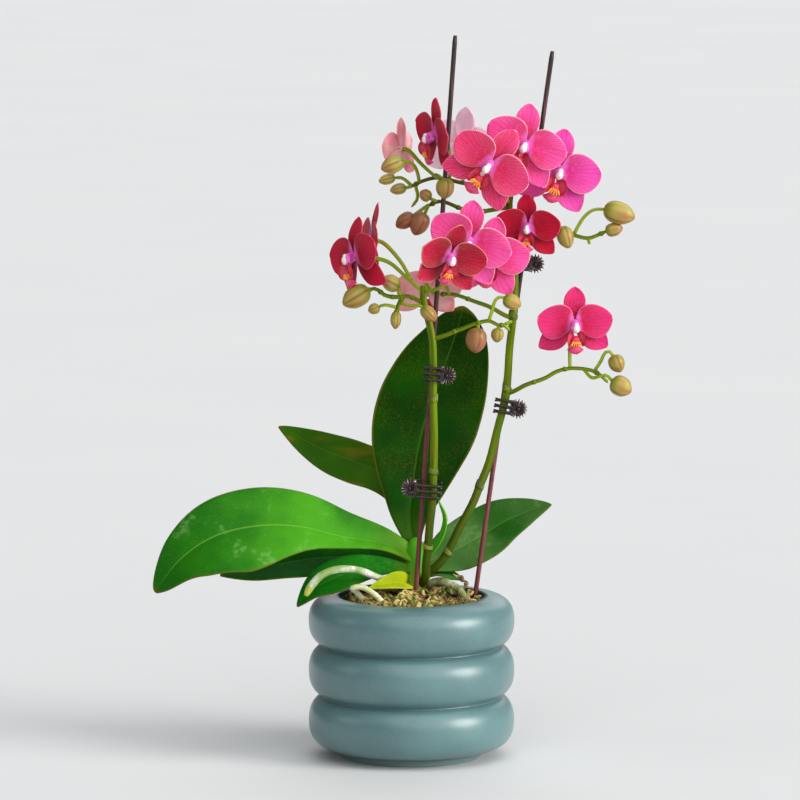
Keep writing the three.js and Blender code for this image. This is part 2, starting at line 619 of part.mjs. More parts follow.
function spikeBody({ stem, steps, sheaths, branches, twigs, buds, blooms }) {
  const pieces = [
    tube(stem, SPIKE_RADIUS_BASE, SPIKE_RADIUS_TOP, 6, steps),
    ...sheaths.map((place) => sheathBody(place, SPIKE_RADIUS_BASE + SHEATH_PROUD)),
    ...branches.map(({ route, steps: rows }) => tube(route, BRANCH_RADIUS, BRANCH_RADIUS - BRANCH_TAPER, 5, rows)),
    ...twigs.map((route) => tube(route, PEDICEL_RADIUS, PEDICEL_RADIUS - TWIG_TAPER, 4, route.length - 1)),
    ...blooms.map((number) => pedicelBody(BLOOMS[number - 1])),
    ...buds.map(budBody),
  ];
  return cut(join(pieces), [crownBody(SEAT)]);
}

// Claw clip in its own frame: the pin stands on the origin along z, the prongs reach
// along +x round the stem and the stake, and the thumb discs lie at -x
function clipDisc() {
  const outline = new THREE.Shape();
  for (let i = 0; i < 2 * CLIP_SCALLOPS; i += 1) {
    const radius = i % 2 ? CLIP_DISC_RADIUS - CLIP_SCALLOP_DEPTH : CLIP_DISC_RADIUS;
    const turn = i * Math.PI / CLIP_SCALLOPS;
    const point = [radius * Math.cos(turn), radius * Math.sin(turn)];
    if (i === 0) {
      outline.moveTo(...point);
    } else {
      outline.lineTo(...point);
    }
  }
  const disc = new THREE.ExtrudeGeometry(outline, { depth: CLIP_DISC_THICKNESS, bevelEnabled: false });
  disc.translate(0, 0, -CLIP_DISC_THICKNESS / 2);
  return disc.rotateX(Math.PI / 2);
}

function bar(route, steps) {
  return tube(route, CLIP_PRONG * Math.SQRT1_2, CLIP_PRONG * Math.SQRT1_2, 4, steps);
}

function block(x, y, z) {
  const geometry = new THREE.BoxGeometry(x[1] - x[0], y[1] - y[0], z[1] - z[0]);
  return geometry.translate((x[0] + x[1]) / 2, (y[0] + y[1]) / 2, (z[0] + z[1]) / 2);
}

// The jaw on the -y side. Its lugs and prongs stand at their own heights, so that the
// mirrored jaw's lugs and prongs pass between them.
function jawBody(reach, prongShift, lugs) {
  const heights = [-1, 0, 1].map((i) => i * CLIP_PRONG_PITCH + prongShift);
  const prong = (z) => bar([
    [0.8, -CLIP_HALF_GAP + 0.3, z], [reach * 0.5, -CLIP_HALF_GAP, z], [reach + 0.4, -CLIP_HALF_GAP + 0.5, z],
    [reach + CLIP_HOOK, -CLIP_HALF_GAP * 0.45, z], [reach + 0.8 * CLIP_HOOK, -0.2, z],
  ], 3);
  const back = [-CLIP_HALF_GAP - 0.3, -CLIP_DISC_OFFSET + 0.4];
  const pieces = [
    clipDisc().translate(CLIP_DISC_CENTRE, -CLIP_DISC_OFFSET, 0),
    block(CLIP_BACK, back, [heights[0] - CLIP_BACK_MARGIN, heights[2] + CLIP_BACK_MARGIN]),
    ...heights.map(prong),
    ...lugs.map((height) => block([-CLIP_LUG, CLIP_LUG], [-CLIP_DISC_OFFSET, CLIP_LUG], height)),
  ];
  const hole = turned(
    [[0, 0], [CLIP_HOLE_RADIUS, 0], [CLIP_HOLE_RADIUS, 1], [0, 1]], 6, [0, 0, -CLIP_HEIGHT], [0, 0, CLIP_HEIGHT]);
  return cut(join(pieces), [hole]);
}

function mirrored(geometry) {
  const flipped = geometry.clone().scale(1, -1, 1);
  const index = flipped.index.array;
  for (let i = 0; i < index.length; i += 3) {
    [index[i], index[i + 1]] = [index[i + 1], index[i]];
  }
  return flipped;
}

function pinBody() {
  const half = CLIP_HEIGHT / 2;
  const profile = [[0, 0], [CLIP_PIN_RADIUS, 0], [CLIP_PIN_RADIUS, 1], [0, 1]];
  return turned(profile, 6, [0, 0, -half], [0, 0, half]);
}

// Each clip: where its pin is, how far it is turned about the vertical, how far it leans
// with the stake, and how far its prongs reach
const CLIPS = [
  { at: [1.7, -7.4, 158], turn: 0, lean: 4, reach: 13.3 },
  { at: [17.6, -7.5, 224], turn: 180, lean: 4, reach: 8.1 },
  { at: [59.4, 11.4, 202.5], turn: 180, lean: 9, reach: 9 },
  { at: [69.1, 11.5, 287], turn: 180, lean: 3, reach: 12.1 },
];

// Moss
function mossBody(tools) {
  const profile = [
    [0, POT_FLOOR + GAP],
    [INNER_RADIUS_FLOOR - GAP, POT_FLOOR + GAP],
    ...MOSS_RINGS.map((share) => [
      (INNER_RADIUS_TOP - GAP) * share,
      MOSS_CENTRE_HEIGHT - (MOSS_CENTRE_HEIGHT - MOSS_EDGE_HEIGHT) * share ** 2,
    ]),
    [0, MOSS_CENTRE_HEIGHT],
  ];
  const bed = upright(profile, POT_SIDES);
  const place = bed.attributes.position;
  for (let i = 0; i < place.count; i += 1) {
    const [x, y, z] = [place.getX(i), place.getY(i), place.getZ(i)];
    const { height, drop, alongX, alongY, inner, outer } = MOSS_WAVE;
    const radius = Math.hypot(x, y);
    if (z > MOSS_EDGE_HEIGHT && radius > inner && radius < outer) {
      place.setZ(i, z + height * Math.sin(x * alongX + 1) * Math.cos(y * alongY) - drop);
    }
  }
  const random = seeded(BARK_SEED);
  const pieces = [bed];
  for (let i = 0; i < BARK_PIECES; i += 1) {
    const turn = (i + 0.5 * random()) * 2 * Math.PI / BARK_PIECES;
    const radius = between(BARK_RADIUS, random());
    const lump = new THREE.IcosahedronGeometry(between(BARK_SIZE, random()), 0);
    lump.scale(...BARK_SHAPE).rotateX(0.5 * random()).rotateZ(6.28 * random());
    lump.translate(radius * Math.cos(turn), radius * Math.sin(turn), MOSS_CENTRE_HEIGHT - BARK_SINK);
    pieces.push(lump);
  }
  return cut(join(pieces), tools);
}

// The whole plant
const group = new THREE.Group();

function add(name, geometry, material, parent = group) {
  const mesh = new THREE.Mesh(geometry, material);
  mesh.name = name;
  parent.add(mesh);
  return mesh;
}

add('pot', potBody(), glaze);
add('crown_stem', crownBody(0), crownGreen);

for (const [name, leaf] of Object.entries(LEAVES)) {
  add(name, cut(leafBody(leaf), [crownBody(SEAT)]), name === 'old_sheath' ? sheathYellow : leafGreen);
}

for (const [name, root] of Object.entries(ROOTS)) {
  add(name, cut(rootBody(root, 0), [crownBody(SEAT)]), rootSilver);
}

STAKE_LINES.forEach((line, i) => {
  add(`stake_${i + 1}`, tube(line, STAKE_RADIUS, STAKE_RADIUS, 8, 1), stakeBrown);
});

for (const [name, spike] of Object.entries(SPIKES)) {
  add(name, spikeBody(spike), stemGreen);
}

BLOOMS.forEach((bloom, i) => {
  const number = i + 1;
  const dark = DARK_BLOOMS.includes(number);
  const flower = new THREE.Group();
  flower.position.set(...bloom.at);
  flower.quaternion.copy(facing(bloom));
  group.add(flower);
  add(`bloom_${number}_tepals`, tepals(bloom), coloured(dark ? '#b3153a' : '#dd3f78', 0.55), flower);
  add(`bloom_${number}_lip`, lip(bloom), lipRed, flower);
});

CLIPS.forEach(({ at, turn, lean, reach }, i) => {
  const clip = new THREE.Group();
  clip.position.set(...at);
  clip.rotation.set(0, lean * DEGREE, 0);
  const facingStem = new THREE.Group();
  facingStem.rotation.z = turn * DEGREE;
  clip.add(facingStem);
  group.add(clip);
  const fixed = jawBody(reach, -CLIP_PRONG_SHIFT, CLIP_FIXED_LUGS);
  const moving = mirrored(jawBody(reach, CLIP_PRONG_SHIFT, CLIP_MOVING_LUGS));
  add(`clip_${i + 1}_jaw_fixed`, fixed, clipBrown, facingStem);
  add(`clip_${i + 1}_jaw_moving`, moving, clipBrown, facingStem);
  add(`clip_${i + 1}_pin`, pinBody(), springSteel, facingStem);
});

const holes = [
  crownBody(GAP),
  ...Object.values(ROOTS).map((root) => rootBody(root, GAP)),
  ...STAKE_LINES.map((line) => tube(lengthened(line, GAP), STAKE_RADIUS + GAP, STAKE_RADIUS + GAP, 8, 1)),
];
add('moss_bed', mossBody(holes), mossy);

export default group;
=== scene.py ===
# %% [markdown]
# # A potted moth orchid
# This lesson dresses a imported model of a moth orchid. The model gives each piece its
# place and size. Here each piece gets the curves, veins and gloss of the real plant.
# Shapes are worked out in millimetres and made metres at the end.

# %% Load the frame
import bisect
import math
import random

import bmesh
import bpy
from mathutils import Matrix, Quaternion, Vector, noise
from mathutils.geometry import interpolate_bezier


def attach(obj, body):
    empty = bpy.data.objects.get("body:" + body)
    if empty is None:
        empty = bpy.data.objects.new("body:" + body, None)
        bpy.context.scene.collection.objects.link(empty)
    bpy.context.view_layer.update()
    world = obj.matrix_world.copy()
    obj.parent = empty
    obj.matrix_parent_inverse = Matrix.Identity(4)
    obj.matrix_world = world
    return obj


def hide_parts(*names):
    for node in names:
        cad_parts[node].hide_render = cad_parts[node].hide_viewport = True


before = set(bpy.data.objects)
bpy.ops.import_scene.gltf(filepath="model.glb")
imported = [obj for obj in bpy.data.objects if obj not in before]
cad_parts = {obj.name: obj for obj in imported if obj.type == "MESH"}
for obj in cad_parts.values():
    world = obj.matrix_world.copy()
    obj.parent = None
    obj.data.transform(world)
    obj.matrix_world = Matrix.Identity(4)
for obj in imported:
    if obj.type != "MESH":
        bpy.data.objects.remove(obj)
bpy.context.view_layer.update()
MM = 0.001
PLANT = "plant"
print("nodes in the frame:", len(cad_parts))

# %% [markdown]
# The photograph was taken from far away with a long lens, a little above the plant. A
# long lens keeps the pot's rings nearly straight, so the camera stands three metres off.

# %% Camera
CAMERA_DISTANCE = 3.0
CAMERA_PITCH = math.radians(6.8)
VIEW_CENTRE = Vector((-6.7, 0, 208.6)) * MM
VIEW_WIDTH = 464 * MM
SENSOR_WIDTH = 36

lens = bpy.data.cameras.new("photo_camera")
lens.sensor_width = SENSOR_WIDTH
lens.lens = SENSOR_WIDTH * CAMERA_DISTANCE / VIEW_WIDTH
lens.clip_end = 50
camera = bpy.data.objects.new("photo_camera", lens)
bpy.context.scene.collection.objects.link(camera)
away = Vector((0, -math.cos(CAMERA_PITCH), math.sin(CAMERA_PITCH)))
camera.location = VIEW_CENTRE + away * CAMERA_DISTANCE
camera.rotation_euler = (math.pi / 2 - CAMERA_PITCH, 0, 0)
bpy.context.scene.camera = camera
print("lens in millimetres:", round(lens.lens, 1))

# %% [markdown]
# The light in the photograph is soft daylight. Most of it comes from the right, where it
# draws a broad highlight along each ring of the pot. Weaker lights come from higher up on
# the camera's side and from behind, and a faint one from the left. The lights are suns
# with wide discs, because a sun lights a large floor evenly.

# %% Suns
SUNS = {
    "window": dict(azimuth=66, elevation=20, strength=2.5, spread=30, colour=(1.0, 0.99, 0.97)),
    "front_fill": dict(azimuth=18, elevation=46, strength=1.8, spread=80, colour=(1.0, 0.99, 0.98)),
    "left_glow": dict(azimuth=-78, elevation=22, strength=0.22, spread=26, colour=(0.95, 0.98, 1.0)),
    "back_fill": dict(azimuth=170, elevation=42, strength=0.8, spread=60, colour=(0.97, 0.98, 1.0)),
}


def sun(name, azimuth, elevation, strength, spread, colour):
    """A sun. Azimuth 0 is the camera's side, and 90 is the right."""
    light = bpy.data.lights.new(name, "SUN")
    light.energy = strength
    light.angle = math.radians(spread)
    light.color = colour
    made = bpy.data.objects.new(name, light)
    made.rotation_euler = (math.radians(90 - elevation), 0, math.radians(azimuth))
    made.location = (0, 0, 1)
    bpy.context.scene.collection.objects.link(made)


for name, settings in SUNS.items():
    sun(name, **settings)
print("suns:", ", ".join(SUNS))

# %% [markdown]
# The sky grows stronger from left to right, so that the pot's left side stays darker. The
# camera itself sees a paler backdrop than the sky that lights the plant, so a Mix Shader
# chooses between two backgrounds.

# %% Sky
SKY = (0.94, 0.97, 1.0, 1)
SKY_LEFT = 0.1
SKY_RIGHT = 0.42
BACKDROP = (0.86, 0.88, 0.89, 1)

world = bpy.data.worlds.new("soft_sky")
world.use_nodes = True
nodes, links = world.node_tree.nodes, world.node_tree.links
sky, seen = nodes["Background"], nodes.new("ShaderNodeBackground")
sky.inputs["Color"].default_value = SKY
axes, side_light = nodes.new("ShaderNodeSeparateXYZ"), nodes.new("ShaderNodeMapRange")
links.new(nodes.new("ShaderNodeTexCoord").outputs["Generated"], axes.inputs[0])
links.new(axes.outputs["X"], side_light.inputs["Value"])
for socket, value in (("From Min", -1), ("From Max", 1), ("To Min", SKY_LEFT), ("To Max", SKY_RIGHT)):
    side_light.inputs[socket].default_value = value
links.new(side_light.outputs["Result"], sky.inputs["Strength"])
seen.inputs["Color"].default_value = BACKDROP
which = nodes.new("ShaderNodeMixShader")
links.new(nodes.new("ShaderNodeLightPath").outputs["Is Camera Ray"], which.inputs[0])
links.new(sky.outputs[0], which.inputs[1])
links.new(seen.outputs[0], which.inputs[2])
links.new(which.outputs[0], nodes["World Output"].inputs["Surface"])
bpy.context.scene.world = world
bpy.context.scene.view_settings.view_transform = "Standard"
print("sky from", SKY_LEFT, "on the left to", SKY_RIGHT, "on the right")

# %% [markdown]
# Every finish is a small sum of patterns. The class Value wraps a node's output, so that
# a sum on patterns reads like a sum on numbers, and Finish holds one material's nodes.


# %% Finishes as sums
class Value:
    """A node's output that takes part in sums. Each sum adds a Math node."""

    def __init__(self, finish, socket):
        self.finish = finish
        self.socket = socket

    def math(self, operation, *inputs):
        return self.finish.node("ShaderNodeMath", {"operation": operation}, dict(enumerate(inputs)))

    def __add__(self, other):
        return self.math("ADD", self, other)

    def __mul__(self, other):
        return self.math("MULTIPLY", self, other)

    def __sub__(self, other):
        return self.math("SUBTRACT", self, other)

    def __rsub__(self, other):
        return self.math("SUBTRACT", other, self)

    def __truediv__(self, other):
        return self.math("DIVIDE", self, other)

    def __rtruediv__(self, other):
        return self.math("DIVIDE", other, self)

    def __abs__(self):
        return self.math("ABSOLUTE", self)

    __radd__ = __add__
    __rmul__ = __mul__

    def larger(self, other):
        return self.math("MAXIMUM", self, other)

    def between(self, low, high):
        """0 below low, 1 above high, and smooth in between. It falls where low is above high."""
        settings = {"interpolation_type": "SMOOTHSTEP"}
        inputs = {"Value": self, "From Min": low, "From Max": high}
        return self.finish.node("ShaderNodeMapRange", settings, inputs, "Result")

    def stripes(self, count):
        """Soft lines, 1 on each line and 0 halfway to the next."""
        return abs(self.math("FRACT", self * count) - 0.5) * 2


class Finish:
    """One material. node() adds a node, and the other methods name the common ones."""

    def __init__(self, name, **constants):
        self.material = bpy.data.materials.new(name)
        self.material.use_nodes = True
        self.tree = self.material.node_tree
        self.shader = self.tree.nodes["Principled BSDF"]
        self.place = self.node("ShaderNodeTexCoord", output="Object")
        for key, value in constants.items():
            self.feed(self.shader.inputs[key.replace("_", " ")], value)

    def feed(self, socket, value):
        if isinstance(value, Value):
            self.tree.links.new(value.socket, socket)
        else:
            socket.default_value = value

    def node(self, kind, settings=None, inputs=None, output=0):
        """A node of any kind, its settings and inputs, as the Value of one output."""
        made = self.tree.nodes.new(kind)
        for key, value in (settings or {}).items():
            setattr(made, key, value)
        for key, value in (inputs or {}).items():
            self.feed(made.inputs[key], value)
        return Value(self, made.outputs[output])

    def attribute(self, name):
        return self.node("ShaderNodeAttribute", {"attribute_name": name}, output="Fac")

    def noise(self, scale, detail=3, stretch=(1, 1, 1)):
        spread = self.node("ShaderNodeMapping", inputs={"Vector": self.place, "Scale": stretch})
        inputs = {"Vector": spread, "Scale": scale, "Detail": detail}
        return self.node("ShaderNodeTexNoise", inputs=inputs, output="Fac")

    def patches(self, scale, low, high, detail=3):
        """Soft-edged patches of noise: 0 where the noise is below low, and 1 above high."""
        return self.noise(scale, detail).between(low, high)

    def grain(self, scale, length, detail=3):
        """Noise that runs round a bar without a seam, drawn out along it by millimetres."""
        turn = self.attribute("across") * math.tau
        along = self.attribute("fan") / (scale * length)
        round_it = self.node("ShaderNodeCombineXYZ", inputs={
            0: turn.math("COSINE", turn), 1: turn.math("SINE", turn), 2: along})
        inputs = {"Vector": round_it, "Scale": scale, "Detail": detail}
        return self.node("ShaderNodeTexNoise", inputs=inputs, output="Fac")

    def mix(self, share, first, second):
        return self.node("ShaderNodeMix", {"data_type": "RGBA"}, {0: share, 6: first, 7: second}, 2)

    def layers(self, colour, *coats):
        """A ground colour under coats. Each coat is a pair: how much it covers, and its colour."""
        for share, coat in coats:
            colour = self.mix(share, colour, coat)
        return colour

    def height(self):
        axes = self.node("ShaderNodeSeparateXYZ", inputs={0: self.place}, output="Z")
        return axes * (1 / MM)

    def paint(self, colour, roughness=None, relief=None, depth=0.0002, strength=0.5):
        self.feed(self.shader.inputs["Base Color"], colour)
        if roughness is not None:
            self.feed(self.shader.inputs["Roughness"], roughness)
        if relief is not None:
            inputs = {"Strength": strength, "Distance": depth, "Height": relief}
            bump = self.node("ShaderNodeBump", inputs=inputs, output="Normal")
            self.feed(self.shader.inputs["Normal"], bump)
        return self.material


def tint(red, green, blue):
    """A screen colour, 0 to 255, as the linear colour that a shader works in."""
    shares = [value / 255 for value in (red, green, blue)]
    return (*(share / 12.92 if share < 0.04 else ((share + 0.055) / 1.055) ** 2.4 for share in shares), 1)


print("screen grey 128 as a linear share:", round(tint(128, 128, 128)[0], 3))


# %% [markdown]
# Plants are made of few kinds of form: a bar that bends along a route, a blade that
# spreads from a midrib, and a rounded body such as a bud. Each has one helper below.
# They start from a Blender circle, grid or sphere, and a formula moves its vertices.
# Four numbers stay with each vertex for patterns that follow a form: along it, across it,
# fan, which is a petal's place in the fan of its veins or a bar's length so far, and
# shade, which is the same all over a part and tells it from the others.


# %% Routes, bars, blades and bodies
class Route:
    """A smooth route through points, read by the share of its length."""

    def __init__(self, points, steps=14):
        known = [Vector(point) for point in points]
        known = [known[0] * 2 - known[1], *known, known[-1] * 2 - known[-2]]
        self.points = [known[1]]
        for before, start, end, after in zip(known, known[1:], known[2:], known[3:]):
            first, middle, last = (
                math.sqrt((b - a).length) for a, b in ((before, start), (start, end), (end, after)))
            leave = (start - before) / first - (end - before) / (first + middle) + (end - start) / middle
            reach = (end - start) / middle - (after - start) / (middle + last) + (after - end) / last
            handles = (start + leave * middle / 3, end - reach * middle / 3)
            self.points += interpolate_bezier(start, *handles, end, steps + 1)[1:]
        self.lengths = [0]
        for a, b in zip(self.points, self.points[1:]):
            self.lengths.append(self.lengths[-1] + (b - a).length)

    def at(self, share):
        distance = min(max(share, 0), 1) * self.lengths[-1]
        i = min(bisect.bisect_right(self.lengths, distance), len(self.points) - 1)
        low, high = self.lengths[i - 1], self.lengths[i]
        return self.points[i - 1].lerp(self.points[i], (distance - low) / (high - low))

    def heading(self, share):
        return (self.at(share + 0.012) - self.at(share - 0.012)).normalized()


LAYERS = ("along", "across", "fan", "shade")


def new_mesh():
    bm = bmesh.new()
    for name in LAYERS:
        bm.verts.layers.float.new(name)
    return bm


def mark(bm, vert, along, across, fan=0):
    for name, value in (("along", along), ("across", across), ("fan", fan)):
        vert[bm.verts.layers.float[name]] = value


def absorb(whole, part, material=0, shade=0.5, closed=True):
    """Adds a part to a larger mesh."""
    if closed:
        bmesh.ops.recalc_face_normals(part, faces=part.faces)
    for face in part.faces:
        face.smooth = True
        face.material_index = material
    layer = part.verts.layers.float["shade"]
    for vert in part.verts:
        vert[layer] = shade
    mesh = bpy.data.meshes.new("part")
    part.to_mesh(mesh)
    part.free()
    whole.from_mesh(mesh)
    bpy.data.meshes.remove(mesh)


def bar(whole, points, radius, sides=10, steps=None, **look):
    """A round bar along a route. radius is a number, or a function of the share of the length.
    Each extrusion leaves the face that it started from inside the bar, so that one goes."""
    route = Route(points)
    steps = steps or max(4, round(route.lengths[-1] / 2.5))
    part = new_mesh()
    bmesh.ops.create_circle(part, cap_ends=True, radius=1, segments=sides)
    face = list(part.faces)[0]
    for i, vert in enumerate(face.verts):
        mark(part, vert, 0, i / sides)
    turn_layer = part.verts.layers.float["across"]
    side = route.heading(0).orthogonal().normalized()
    for i in range(steps + 1):
        share = i / steps
        if i:
            before = face
            made = bmesh.ops.extrude_face_region(part, geom=[face])["geom"]
            face = [item for item in made if isinstance(item, bmesh.types.BMFace)][0]
            if i > 1:
                bmesh.ops.delete(part, geom=[before], context="FACES_ONLY")
        heading = route.heading(share)
        side = (side - heading * side.dot(heading)).normalized()
        other = heading.cross(side)
        reach = radius(share) if callable(radius) else radius
        for vert in face.verts:
            turn = vert[turn_layer] * math.tau
            vert.co = route.at(share) + (side * math.cos(turn) + other * math.sin(turn)) * reach
            mark(part, vert, share, vert[turn_layer], share * route.lengths[-1])
    absorb(whole, part, **look)


def blade(whole, surface, columns, rows, **look):
    """A sheet over surface(t, s), where t runs across from -1 to 1 and s along from 0 to 1."""
    part = new_mesh()
    bmesh.ops.create_grid(part, x_segments=columns, y_segments=rows, size=1)
    for vert in part.verts:
        vert.co, t, s, fan = surface(vert.co.x, (vert.co.y + 1) / 2)
        mark(part, vert, s, t, fan)
    absorb(whole, part, closed=False, **look)


def body(whole, shape, columns=16, rows=10, **look):
    """A rounded body: shape(x, y, z) gives the place of each point of a ball of radius 1."""
    part = new_mesh()
    bmesh.ops.create_uvsphere(part, u_segments=columns, v_segments=rows, radius=1)
    for vert in part.verts:
        x, y, z = vert.co
        mark(part, vert, (z + 1) / 2, math.atan2(y, x) / math.tau + 0.5)
        vert.co = shape(x, y, z)
    absorb(whole, part, **look)


def egg(centre, radii):
    """The shape of a plain rounded body."""
    return lambda x, y, z: Vector(centre) + Vector((x * radii[0], y * radii[1], z * radii[2]))


def finish_piece(bm, name, materials, nodes, rides=PLANT, thickness=0, levels=0):
    """Makes a finished object of a mesh. A thickness turns blades into solid ones."""
    bmesh.ops.scale(bm, vec=(MM, MM, MM), verts=bm.verts)
    mesh = bpy.data.meshes.new(name)
    bm.to_mesh(mesh)
    bm.free()
    piece = bpy.data.objects.new(name, mesh)
    bpy.context.scene.collection.objects.link(piece)
    for material in materials:
        mesh.materials.append(material)
    if thickness:
        shell = piece.modifiers.new("thickness", "SOLIDIFY")
        shell.thickness = thickness * MM
        shell.offset = 0
        shell.material_offset = len(materials) // 2
    if levels:
        smooth = piece.modifiers.new("smooth", "SUBSURF")
        smooth.levels = smooth.render_levels = levels
    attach(piece, rides)
    if nodes:
        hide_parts(*nodes)
    print(name, "faces:", len(mesh.polygons))


# %% [markdown]
# The pot is one ceramic body: three soft rings, one on another, and a plain round hollow.
# A potter would turn it, so it is turned here too. A half outline is spun about the
# upright axis. The rings aren't circles but fuller curves, so a rounded-square power
# shapes them.

# %% Pot
RING_LEVELS = (21.1, 50.6, 80.1)
RING_CENTRE_RADIUS = 45
RING_DEPTH = 15
RING_HALF_HEIGHT = 15.8
RIM_HALF_HEIGHT = 14
RING_ROUNDNESS = 2.4
RING_POINTS = 26
FOOT_RADIUS = 41.5
FOOT_EDGE = 0.8
POT_FLOOR = 8
INNER_RADIUS_FLOOR = 40
INNER_RADIUS_TOP = 46.4
INNER_TOP = 91.5
INNER_LIP = ((-2.5, 1.2), (-3.4, -1.4))
INNER_CORNER = 2
FIRST_RING_START = -100
LAST_RING_END = 96
POT_STEPS = 160


def ring_point(ring, degrees):
    x, z = math.cos(math.radians(degrees)), math.sin(math.radians(degrees))
    power = 2 / RING_ROUNDNESS
    top = ring == len(RING_LEVELS) - 1 and z > 0
    tall = RIM_HALF_HEIGHT if top else RING_HALF_HEIGHT
    return (RING_CENTRE_RADIUS + RING_DEPTH * math.copysign(abs(x) ** power, x),
            RING_LEVELS[ring] + tall * math.copysign(abs(z) ** power, z))


def pot_outline():
    half_pitch = (RING_LEVELS[1] - RING_LEVELS[0]) / 2
    crease = math.degrees(math.asin((half_pitch / RING_HALF_HEIGHT) ** (RING_ROUNDNESS / 2)))
    outline = [(0, 0), (FOOT_RADIUS - FOOT_EDGE, 0), (FOOT_RADIUS, FOOT_EDGE)]
    for ring in range(len(RING_LEVELS)):
        first = -crease if ring else FIRST_RING_START
        last = LAST_RING_END if ring == len(RING_LEVELS) - 1 else crease
        for i in range(1 if ring else 0, RING_POINTS + 1):
            outline.append(ring_point(ring, first + (last - first) * i / RING_POINTS))
    outline += [(INNER_RADIUS_TOP + out, INNER_TOP + up) for out, up in INNER_LIP]
    outline += [(INNER_RADIUS_FLOOR, POT_FLOOR + INNER_CORNER),
                (INNER_RADIUS_FLOOR - INNER_CORNER, POT_FLOOR)]
    return outline + [(0, POT_FLOOR)]


def spun(outline, steps):
    """A solid turned from a half outline that starts and ends on the axis."""
    bm = new_mesh()
    verts = [bm.verts.new((radius, 0, z)) for radius, z in outline]
    edges = [bm.edges.new(pair) for pair in zip(verts, verts[1:])]
    bmesh.ops.spin(bm, geom=verts + edges, cent=(0, 0, 0), axis=(0, 0, 1), angle=math.tau,
                   steps=steps, use_merge=True)
    bmesh.ops.remove_doubles(bm, verts=bm.verts, dist=0.0001)
    bmesh.ops.recalc_face_normals(bm, faces=bm.faces)
    for face in bm.faces:
        face.smooth = True
    return bm


# %% [markdown]
# The glaze is a satin blue-green. Its colour is darker in the creases between the rings,
# which is painted shade, and a pale band at the foot is painted light from the floor.
# Fine specks and a faint unevenness keep it from looking like plastic.


# %% Glaze
def glaze():
    finish = Finish("pot_glaze", Coat_Weight=0.6, Coat_Roughness=0.3, Specular_IOR_Level=0.55)
    level = finish.height()
    crown = ((level - RING_LEVELS[0]) / (RING_LEVELS[1] - RING_LEVELS[0])).stripes(1)
    crease = crown.between(0.32, 0.0) * level.between(86, 80)
    colour = finish.layers(
        tint(76, 111, 113),
        (finish.patches(28, 0.3, 0.7, 4), tint(86, 123, 124)),
        # Painted shade: the colour darkens in the creases between the rings.
        (crease * 0.25, tint(58, 90, 94)),
        # Painted light: a paler band at the foot, standing in for light from the floor.
        (level.between(5.5, 3) * 0.8, tint(120, 146, 146)),
        (finish.patches(1400, 0.66, 0.74, 2) * 0.3, tint(50, 74, 78)),
        (finish.patches(800, 0.35, 0.65, 2) * 0.12, tint(112, 146, 150)))
    roughness = 0.36 + finish.noise(160, 3) * 0.08
    relief = finish.noise(75, 3) * 0.8 + finish.noise(900, 2) * 0.12
    return finish.paint(colour, roughness, relief, 0.0004, 0.35)


finish_piece(spun(pot_outline(), POT_STEPS), "pot_turned", [glaze()], ["pot"])

# %% [markdown]
# The pot is filled with bark chips and curly moss. The bed under them is a turned body
# with an uneven top. Chips and strands lie on it. Their places are drawn from fixed
# seeds, so every run makes the same ones.

# %% Moss bed
MOSS_CENTRE_HEIGHT = 96
MOSS_EDGE_HEIGHT = 89.5
MOSS_RADIUS = INNER_RADIUS_TOP - 4.2
BED_FLOOR = (INNER_RADIUS_FLOOR - 3, POT_FLOOR + 0.5)
BED_SINK = 1.2
BED_RINGS = 34


def bed_height(x, y):
    share = math.hypot(x, y) / MOSS_RADIUS
    lumps = noise.noise(Vector((x, y, 0)) * 0.13) * 2.6 + noise.noise(Vector((x, y, 7)) * 0.5) * 1.2
    return MOSS_CENTRE_HEIGHT - (MOSS_CENTRE_HEIGHT - MOSS_EDGE_HEIGHT) * share ** 2 + lumps


def bed():
    outline = [(0, BED_FLOOR[1]), BED_FLOOR, (MOSS_RADIUS, MOSS_EDGE_HEIGHT - 2)]
    outline += [(MOSS_RADIUS * i / BED_RINGS, MOSS_EDGE_HEIGHT) for i in range(BED_RINGS, -1, -1)]
    bm = spun(outline, 128)
    for vert in bm.verts:
        if vert.co.z > MOSS_EDGE_HEIGHT - 1:
            vert.co.z = bed_height(vert.co.x, vert.co.y) - BED_SINK
    return bm


def soil():
    finish = Finish("soil")
    grain = finish.noise(420, 5)
    colour = finish.layers(
        tint(34, 22, 14),
        (grain.between(0.35, 0.65), tint(112, 84, 50)),
        (finish.patches(140, 0.5, 0.7) * 0.6, tint(92, 96, 42)))
    return finish.paint(colour, 0.95, grain, 0.0015, 0.9)


finish_piece(bed(), "moss_bed_soil", [soil()], ["moss_bed"])

# %% [markdown]
# A bark chip is a ball pulled towards a box and roughened by noise. The chips lie round
# the crown, small and large, and every seventh is orange.

# %% Bark chips
BARK_CHIPS = 150
CHIP_SIZES = (1.6, 4.2)
CHIP_SHAPE = (1, 0.62, 0.34)
CHIP_SQUARENESS = 0.45
CROWN_CENTRE = (2, 6)
CROWN_CLEARANCE = 12
chips_random = random.Random(5)


def chip(whole, centre, size, material):
    turn = Matrix.Rotation(chips_random.uniform(0, math.tau), 3, "Z")
    turn @= Matrix.Rotation(chips_random.uniform(-0.5, 0.5), 3, "X")
    offset = Vector((chips_random.random() * 90, 0, 0))

    def shape(x, y, z):
        squared = [math.copysign(abs(v) ** CHIP_SQUARENESS, v) for v in (x, y, z)]
        point = Vector(size * share * v for share, v in zip(CHIP_SHAPE, squared))
        point *= 1 + 0.35 * noise.noise(point * 0.5 + offset)
        return Vector(centre) + turn @ point

    body(whole, shape, 14, 9, material=material, shade=chips_random.random())


def bark_finish(name, dark, light):
    finish = Finish(name)
    grain = finish.noise(300, 5, (1, 1, 3))
    coats = (grain.between(0.3, 0.7), light), (finish.attribute("shade") * 0.5, dark)
    return finish.paint(finish.layers(dark, *coats), 0.85, grain, 0.0008, 0.9)


